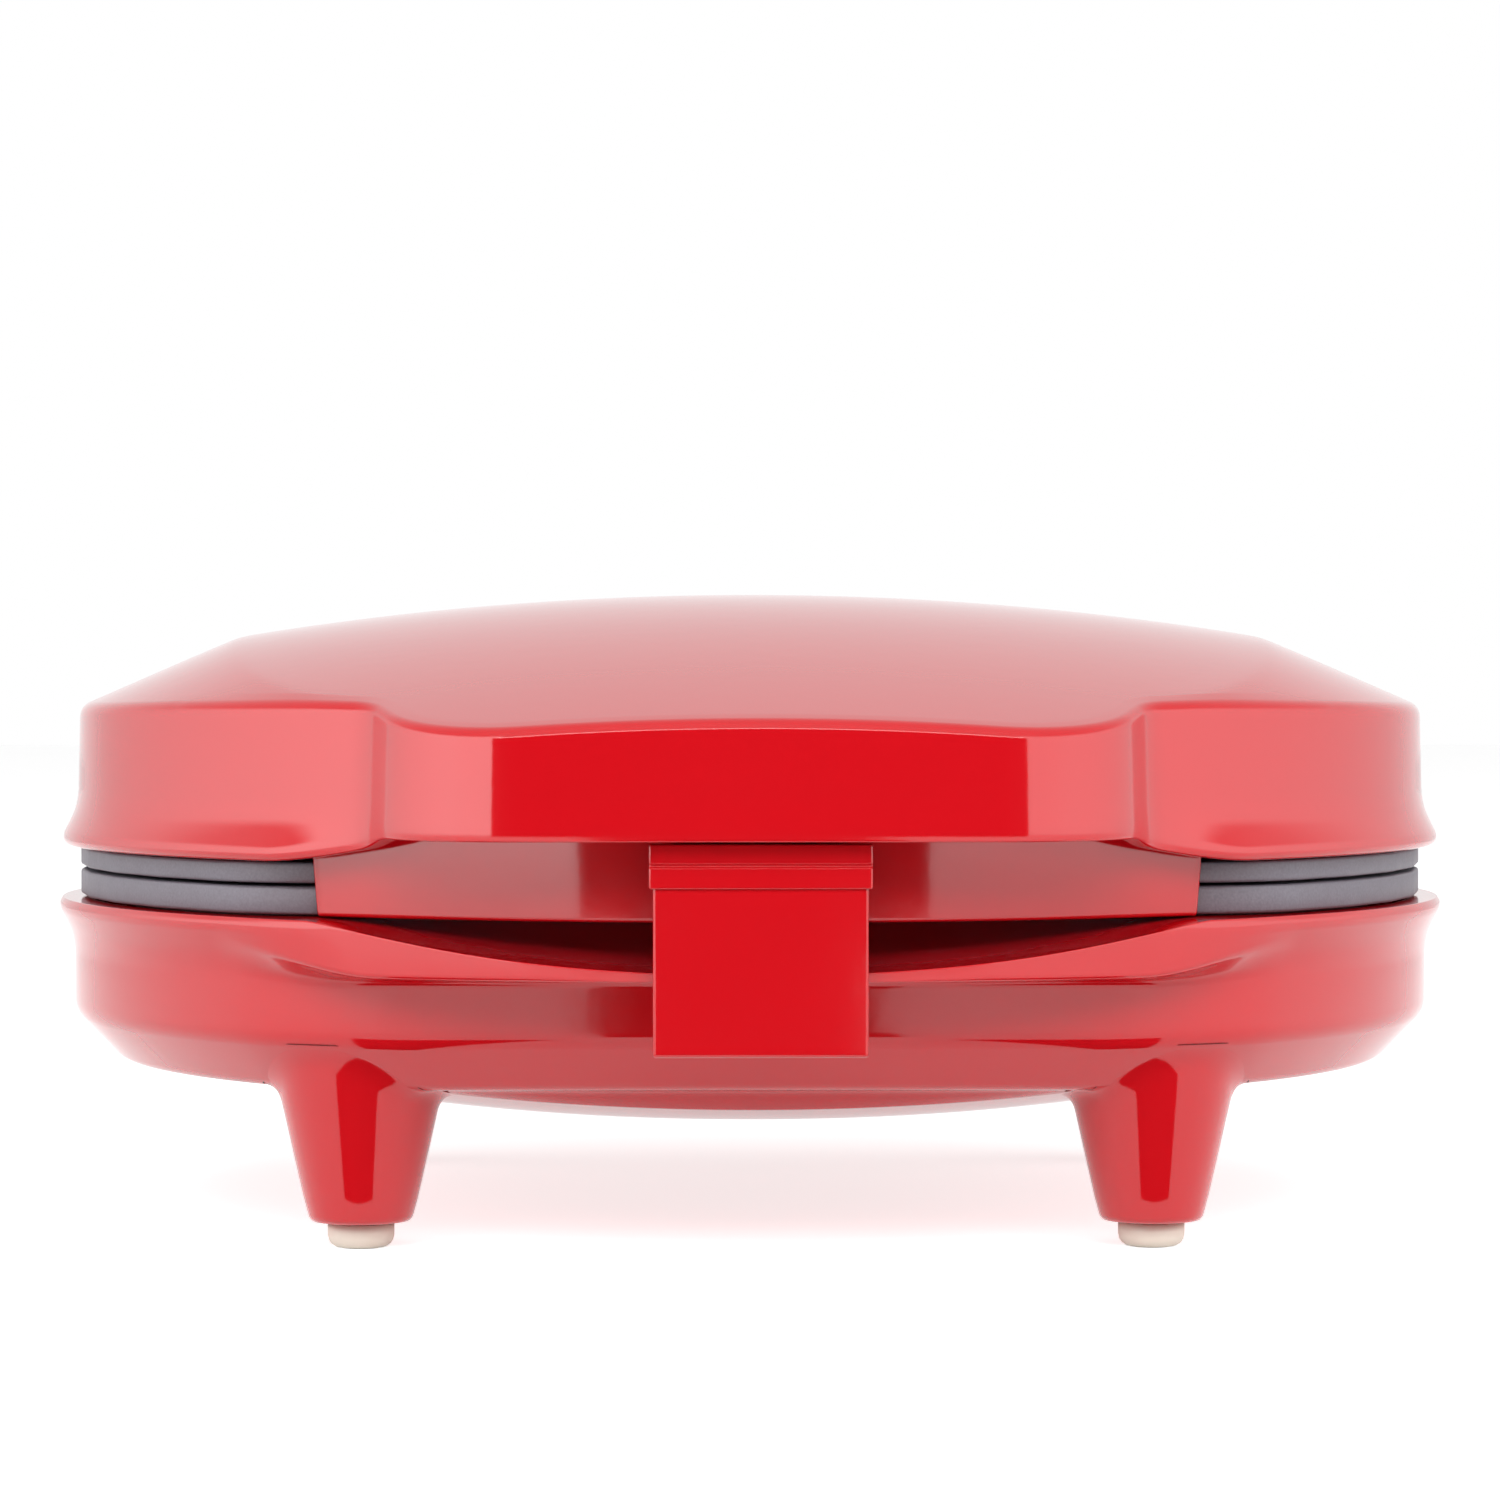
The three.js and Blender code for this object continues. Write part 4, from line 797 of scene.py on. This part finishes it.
# %% A finish
class Finish:
    """A material whose Principled shader gets its values and links from Python."""

    def __init__(self, name, **values):
        self.material = bpy.data.materials.new(name)
        self.material.use_nodes = True
        self.tree = self.material.node_tree
        self.shader = self.tree.nodes["Principled BSDF"]
        self.set(**values)

    def node(self, kind, settings=(), inputs=(), output=0):
        """Adds a node: its settings first, then the values or links of its inputs."""
        made = self.tree.nodes.new(kind)
        for key, value in dict(settings).items():
            setattr(made, key, value)
        for key, value in dict(inputs).items():
            self.feed(made.inputs[key], value)
        return Signal(self, made.outputs[output])

    def feed(self, socket, value):
        """Links a signal to a socket, or sets the socket's own value."""
        if isinstance(value, Signal):
            self.tree.links.new(value.socket, socket)
        else:
            socket.default_value = value

    def set(self, **values):
        """Sets Principled inputs; base_color stands for Base Color, and so on."""
        sockets = {socket.name.lower().replace(" ", "_"): socket for socket in self.shader.inputs}
        for key, value in values.items():
            self.feed(sockets[key], value)

    def place(self, scale=(1, 1, 1)):
        """Object coordinates in metres, stretched by a scale."""
        where = self.node("ShaderNodeTexCoord", output="Object")
        return self.node("ShaderNodeMapping", {"vector_type": "POINT"},
                         {"Vector": where, "Scale": scale})

    def noise(self, scale, detail=2.0, stretch=(1, 1, 1)):
        """Noise from 0 to 1 with about scale lumps in each metre."""
        return self.node("ShaderNodeTexNoise", {}, {
            "Vector": self.place(stretch), "Scale": scale, "Detail": detail, "Roughness": 0.55})

    def blend_colours(self, factor, a, b):
        """(1 - factor) a + factor b."""
        return self.node("ShaderNodeMix", {"data_type": "RGBA"}, {0: factor, 6: a, 7: b}, 2)

    def bump(self, height, depth):
        """Turns a height from 0 to 1 into dents of a depth in millimetres."""
        self.set(normal=self.node("ShaderNodeBump", {}, {
            "Strength": 1.0, "Distance": depth * MM, "Height": height}))


def linear(red, green, blue):
    """A colour given in 0..255 display values as the linear values that shaders use."""
    value = np.array([red, green, blue]) / 255
    value = np.where(value <= 0.04045, value / 12.92, ((value + 0.055) / 1.055) ** 2.4)
    return (*value.tolist(), 1.0)


# %% [markdown]
# The shells, the handle and the clip are one glossy red plastic. A moulded gloss surface
# is never a perfect mirror: it has a very shallow waviness, which is what breaks up the
# edges of reflections, and its gloss differs a little from place to place.

# %% Red plastic, coated plates and rubber
def glossy_red():
    """Red moulded gloss: a faint cloud in the colour, and shallow waves on the surface."""
    finish = Finish("glossy_red_moulding", ior=1.5, coat_weight=0.2, coat_roughness=0.03)
    cloud = finish.noise(9, 2)
    finish.set(base_color=finish.blend_colours(cloud, linear(184, 12, 21), linear(190, 14, 24)))
    finish.set(roughness=0.07 + 0.04 * finish.noise(60, 3))
    finish.bump(finish.noise(260, 1) * 0.8 + finish.noise(900, 1) * 0.2, 0.012)
    return finish.material


def plate_coating():
    """Dark grey coating sprayed on cast aluminium: satin, with a fine speckle."""
    finish = Finish("plate_coating", ior=1.45, metallic=0.0, specular_ior_level=0.6)
    speckle = finish.noise(2600, 2)
    finish.set(base_color=finish.blend_colours(speckle, linear(86, 82, 90), linear(113, 109, 119)))
    finish.set(roughness=0.42 + 0.14 * finish.noise(300, 2))
    finish.bump(speckle * 0.6 + finish.noise(700, 2) * 0.4, 0.03)
    return finish.material


def ivory_rubber():
    """Ivory rubber: dull, with a fine grain."""
    finish = Finish("ivory_rubber", ior=1.5)
    cloud = finish.noise(180, 3)
    finish.set(base_color=finish.blend_colours(cloud, linear(208, 199, 185), linear(222, 214, 201)))
    finish.set(roughness=0.5 + 0.15 * finish.noise(500, 2))
    finish.bump(finish.noise(1500, 2), 0.015)
    return finish.material


# %% [markdown]
# Inside are drawn steel pins and screws, rolled aluminium heat shields and small plastic
# parts. Some show when the lid is open, so they get finishes of their own too. An image
# could hold the fine lines of drawn metal, but noise that is squeezed across one axis
# gives them without one, and at any size.

# %% Metals and plain mouldings
def shades(colour, low):
    """A colour and the same colour darkened to a share of its display value."""
    return [linear(*(share * np.array(colour))) for share in (low, 1.0)]


def metal(name, colour, along, rough):
    """Bare metal whose drawing or rolling marks run along one axis: noise squeezed by 60
    across that axis reads as fine parallel lines."""
    finish = Finish(name, metallic=1.0)
    lines = finish.noise(30, 3, [1.5 if k == along else 60 for k in range(3)])
    finish.set(base_color=finish.blend_colours(lines, *shades(colour, 0.88)))
    finish.set(roughness=rough + 0.12 * lines)
    finish.bump(lines, 0.006)
    return finish.material


def moulding(name, colour, rough):
    """Plain engineering plastic with the fine texture of an eroded mould."""
    finish = Finish(name, ior=1.5)
    finish.set(base_color=finish.blend_colours(finish.noise(90, 3), *shades(colour, 0.93)))
    finish.set(roughness=rough + 0.1 * finish.noise(400, 2))
    finish.bump(finish.noise(1800, 2), 0.02)
    return finish.material


finishes = {
    "red_shell": glossy_red(), "coated_plate": plate_coating(), "foot_rubber": ivory_rubber(),
    "steel": metal("drawn_steel", (196, 196, 200), 0, 0.24),
    "bright_sheet": metal("rolled_aluminium", (214, 215, 218), 0, 0.32),
    "pale_moulding": moulding("pale_moulding", (226, 222, 210), 0.45),
    "dark_moulding": moulding("dark_moulding", (44, 42, 44), 0.5)}
print("finishes:", ", ".join(finishes))

# %% [markdown]
# The pieces that stay as their CAD solids, such as the screws, pins and heaters, get
# their finishes through their material slots. The record says which finish each one has.

# %% Every piece gets its finish
def put_on(piece, material):
    """One material over a whole mesh, through its material slots."""
    mesh = piece.data
    if not mesh.materials:
        mesh.materials.append(material)
    for slot in piece.material_slots:
        slot.material = material


for subpart in frame["record"]["subparts"]:
    put_on(frame["nodes"][subpart["node"]], finishes[subpart["material_slot"]])
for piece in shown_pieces():
    if "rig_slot" in piece:
        put_on(piece, finishes[piece["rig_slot"]])

# %% [markdown]
# The studio is a pale table in a white room. The room is white for the camera and for
# reflections, and dimmer where it only fills in shadow, so that the object still shades
# itself. The table keeps the object's shadow.

# %% Room and table
def white_room(fill):
    """World light: white to the camera, to reflections and through glass, else a fill."""
    world = bpy.data.worlds.new("white_room")
    world.use_nodes = True
    nodes, links = world.node_tree.nodes, world.node_tree.links
    rays = nodes.new("ShaderNodeLightPath")
    seen = rays.outputs["Is Camera Ray"]
    for kind in ("Glossy", "Transmission"):
        either = nodes.new("ShaderNodeMath")
        either.operation = "MAXIMUM"
        links.new(seen, either.inputs[0])
        links.new(rays.outputs[f"Is {kind} Ray"], either.inputs[1])
        seen = either.outputs[0]
    level = nodes.new("ShaderNodeMapRange")
    level.inputs["To Min"].default_value = fill
    links.new(seen, level.inputs["Value"])
    links.new(level.outputs["Result"], nodes["Background"].inputs["Strength"])
    nodes["Background"].inputs["Color"].default_value = (1, 1, 1, 1)
    bpy.context.scene.world = world


def table():
    """A pale floor that keeps the object's shadow. The camera also sees a little light
    added to it, so that the lit floor reads white like the room behind."""
    bpy.ops.mesh.primitive_plane_add(size=8)
    floor = bpy.context.object
    floor.name = "table"
    finish = Finish("white_table", base_color=(0.82, 0.82, 0.82, 1), roughness=0.9)
    camera, glossy = [finish.node("ShaderNodeLightPath", output=f"Is {kind} Ray")
                      for kind in ("Camera", "Glossy")]
    finish.set(emission_color=(1, 1, 1, 1), emission_strength=camera * 0.72 + glossy * 0.62)
    put_on(floor, finish.material)
    print(f"{floor.name}: {floor.dimensions.x:g} m wide")


white_room(0.2)
table()

# %% [markdown]
# Three broad soft lights, one above and in front and one at each side, light the object.
# A gloss surface is seen mostly by what it mirrors, so the lights don't show in
# reflections, and what shows is placed by itself: here a thin bright strip for the top
# edge of the handle, and below the cards.

# %% Lamps
def softbox(name, turn, away, height, size, power, tilt=0, shows=True, lights=True):
    """An area light that stands at a turn in degrees from the front, a distance away
    and a height up, all in metres. It faces the object's axis, tipped down by a tilt.
    It may show in reflections, or light what is round it, or both."""
    light = bpy.data.lights.new(name, "AREA")
    light.shape, light.size, light.size_y, light.energy = "RECTANGLE", *size, power
    lamp = bpy.data.objects.new(name, light)
    turn = np.radians(turn)
    lamp.location = (away * np.sin(turn), -away * np.cos(turn), height)
    lamp.rotation_euler = (np.pi / 2 - np.radians(tilt), 0, turn)
    lamp.visible_camera, lamp.visible_glossy, lamp.visible_diffuse = False, shows, lights
    bpy.context.scene.collection.objects.link(lamp)
    print(f"{name}: {power} W, {away} m away and {height} m up")


for side in SIDES:
    softbox(f"side_softbox_{side:+d}", 80 * side, 1.5, 0.5, (1.6, 1.2), 15, shows=False)
softbox("key_softbox", 0, 1.15, 1.0, (1.6, 0.9), 24, tilt=41, shows=False)
softbox("edge_strip", 0, 0.66, 0.26, (0.56, 0.04), 0.42, lights=False)

# %% [markdown]
# In the photo the handle's face, the clip and the fronts of the legs are a deep red with
# no white on them, so something dark stood in front of them. Here it is a few black cards
# that only reflections meet. The far one stands before the handle, the near one and its
# strip on the table give the dark middle of the base, and one lies before each leg.

# %% Dark cards
TABLE_GAP = 0.001


def card(name, points, faces, material):
    """A card from its points in metres. It shows in reflections and nowhere else."""
    mesh = bpy.data.meshes.new(name)
    mesh.from_pydata(points, [], faces)
    made = bpy.data.objects.new(name, mesh)
    bpy.context.scene.collection.objects.link(made)
    put_on(made, material)
    made.visible_camera = made.visible_diffuse = made.visible_shadow = False
    print(f"{name}: {len(points)} points")


black = Finish("black_card", base_color=(0.01, 0.01, 0.01, 1), roughness=1.0,
               specular_ior_level=0.0).material


def upright_card(name, left, right, y, low, high):
    """A black card that stands across the view at a depth y."""
    card(name, [(left, y, low), (right, y, low), (right, y, high), (left, y, high)],
         [range(4)], black)


def lying_card(name, corners):
    """A black card that lies just above the table, from its corners in plan."""
    card(name, [(x, y, TABLE_GAP) for x, y in corners], [range(4)], black)


upright_card("dark_card_far", -0.283, 0.282, -0.6, 0.016, 0.22)
upright_card("dark_card_near", -0.031, 0.0316, -0.45, 0.0, 0.05)
lying_card("dark_card_floor", [(-0.0237, -0.15), (0.0241, -0.15), (0.0316, -0.45), (-0.031, -0.45)])
for side in SIDES:
    lying_card(f"dark_card_leg_{side:+d}", [(side * x, y) for x, y in (
        (0.0514, -0.083), (0.0663, -0.083), (0.0915, -0.125), (0.0304, -0.125))])

# %% [markdown]
# The round walls mirror the sides of the studio, and they are brightest towards the
# front. A flat light panel leaves a hard seam where it ends. So the sides are curved
# cards whose glow fades smoothly to the white of the room behind them.

# %% Glowing walls
WALL_AWAY, WALL_TALL, COLUMNS = 0.75, 0.48, 40


def glowing_wall(side, strength):
    """A curved card from 20 to 150 degrees round from the front. It glows with the
    strength near the front and fades to the room's white of 1 towards the back, the top
    and the table."""
    turn = np.radians(np.linspace(20, 150, COLUMNS))
    foot = WALL_AWAY * np.column_stack([side * np.sin(turn), -np.cos(turn), np.zeros(COLUMNS)])
    points = np.vstack([foot, foot + [0, 0, WALL_TALL]])
    low = np.arange(COLUMNS - 1)
    faces = np.stack([low, low + 1, low + 1 + COLUMNS, low + COLUMNS], -1)
    finish = Finish(f"glowing_wall_{side:+d}", base_color=(0, 0, 0, 1), specular_ior_level=0.0,
                    emission_strength=strength)
    where = finish.node("ShaderNodeTexCoord", output="Object")
    x, y, z = [finish.node("ShaderNodeSeparateXYZ", {}, {"Vector": where}, axis) for axis in "XYZ"]
    around = finish.node("ShaderNodeMath", {"operation": "ARCTAN2"}, {0: side * x, 1: -1 * y})

    def fade(value, start, end):
        return finish.node("ShaderNodeMapRange", {"interpolation_type": "SMOOTHSTEP"}, {
            "Value": value, "From Min": start, "From Max": end, "To Min": 1.0, "To Max": 0.0})

    glow = fade(around, np.radians(50), np.radians(138)) * fade(z, 0.26, 0.46)
    glow = glow * (1 - 0.55 * fade(z, 0.01, 0.055))
    room_white = (1 / strength,) * 3 + (1,)
    finish.set(emission_color=finish.blend_colours(glow, room_white, (1, 1, 1, 1)))
    card(f"glowing_wall_{side:+d}", points.tolist(), faces.tolist(), finish.material)


for side in SIDES:
    glowing_wall(side, 3.55 - 0.6 * side)

# %% [markdown]
# The photograph was taken with a long lens, a little above the table and slightly to the
# handle's left. The camera stands 840 mm from the axis and 88.4 mm up, and looks down by
# 1.1 degrees. A lens of 124.8 mm on a 36 mm frame is 5200 pixels in a frame of 1500.

# %% Camera
CAMERA_AWAY, CAMERA_UP, CAMERA_TURN, CAMERA_DIP = 840.0, 88.4, np.radians(0.8), np.radians(1.1)
lens = bpy.data.cameras.new("camera")
lens.lens, lens.sensor_width = 124.8, 36.0
camera = bpy.data.objects.new("camera", lens)
camera.location = Vector((-CAMERA_AWAY * np.sin(CAMERA_TURN),
                          AXIS_Y - CAMERA_AWAY * np.cos(CAMERA_TURN), CAMERA_UP)) * MM
camera.rotation_euler = (np.pi / 2 - CAMERA_DIP, 0, -CAMERA_TURN)
bpy.context.scene.collection.objects.link(camera)
bpy.context.scene.camera = camera
bpy.context.scene.view_settings.view_transform = "Standard"
print("camera at", [round(v, 4) for v in camera.location], "with a lens of", lens.lens, "mm")
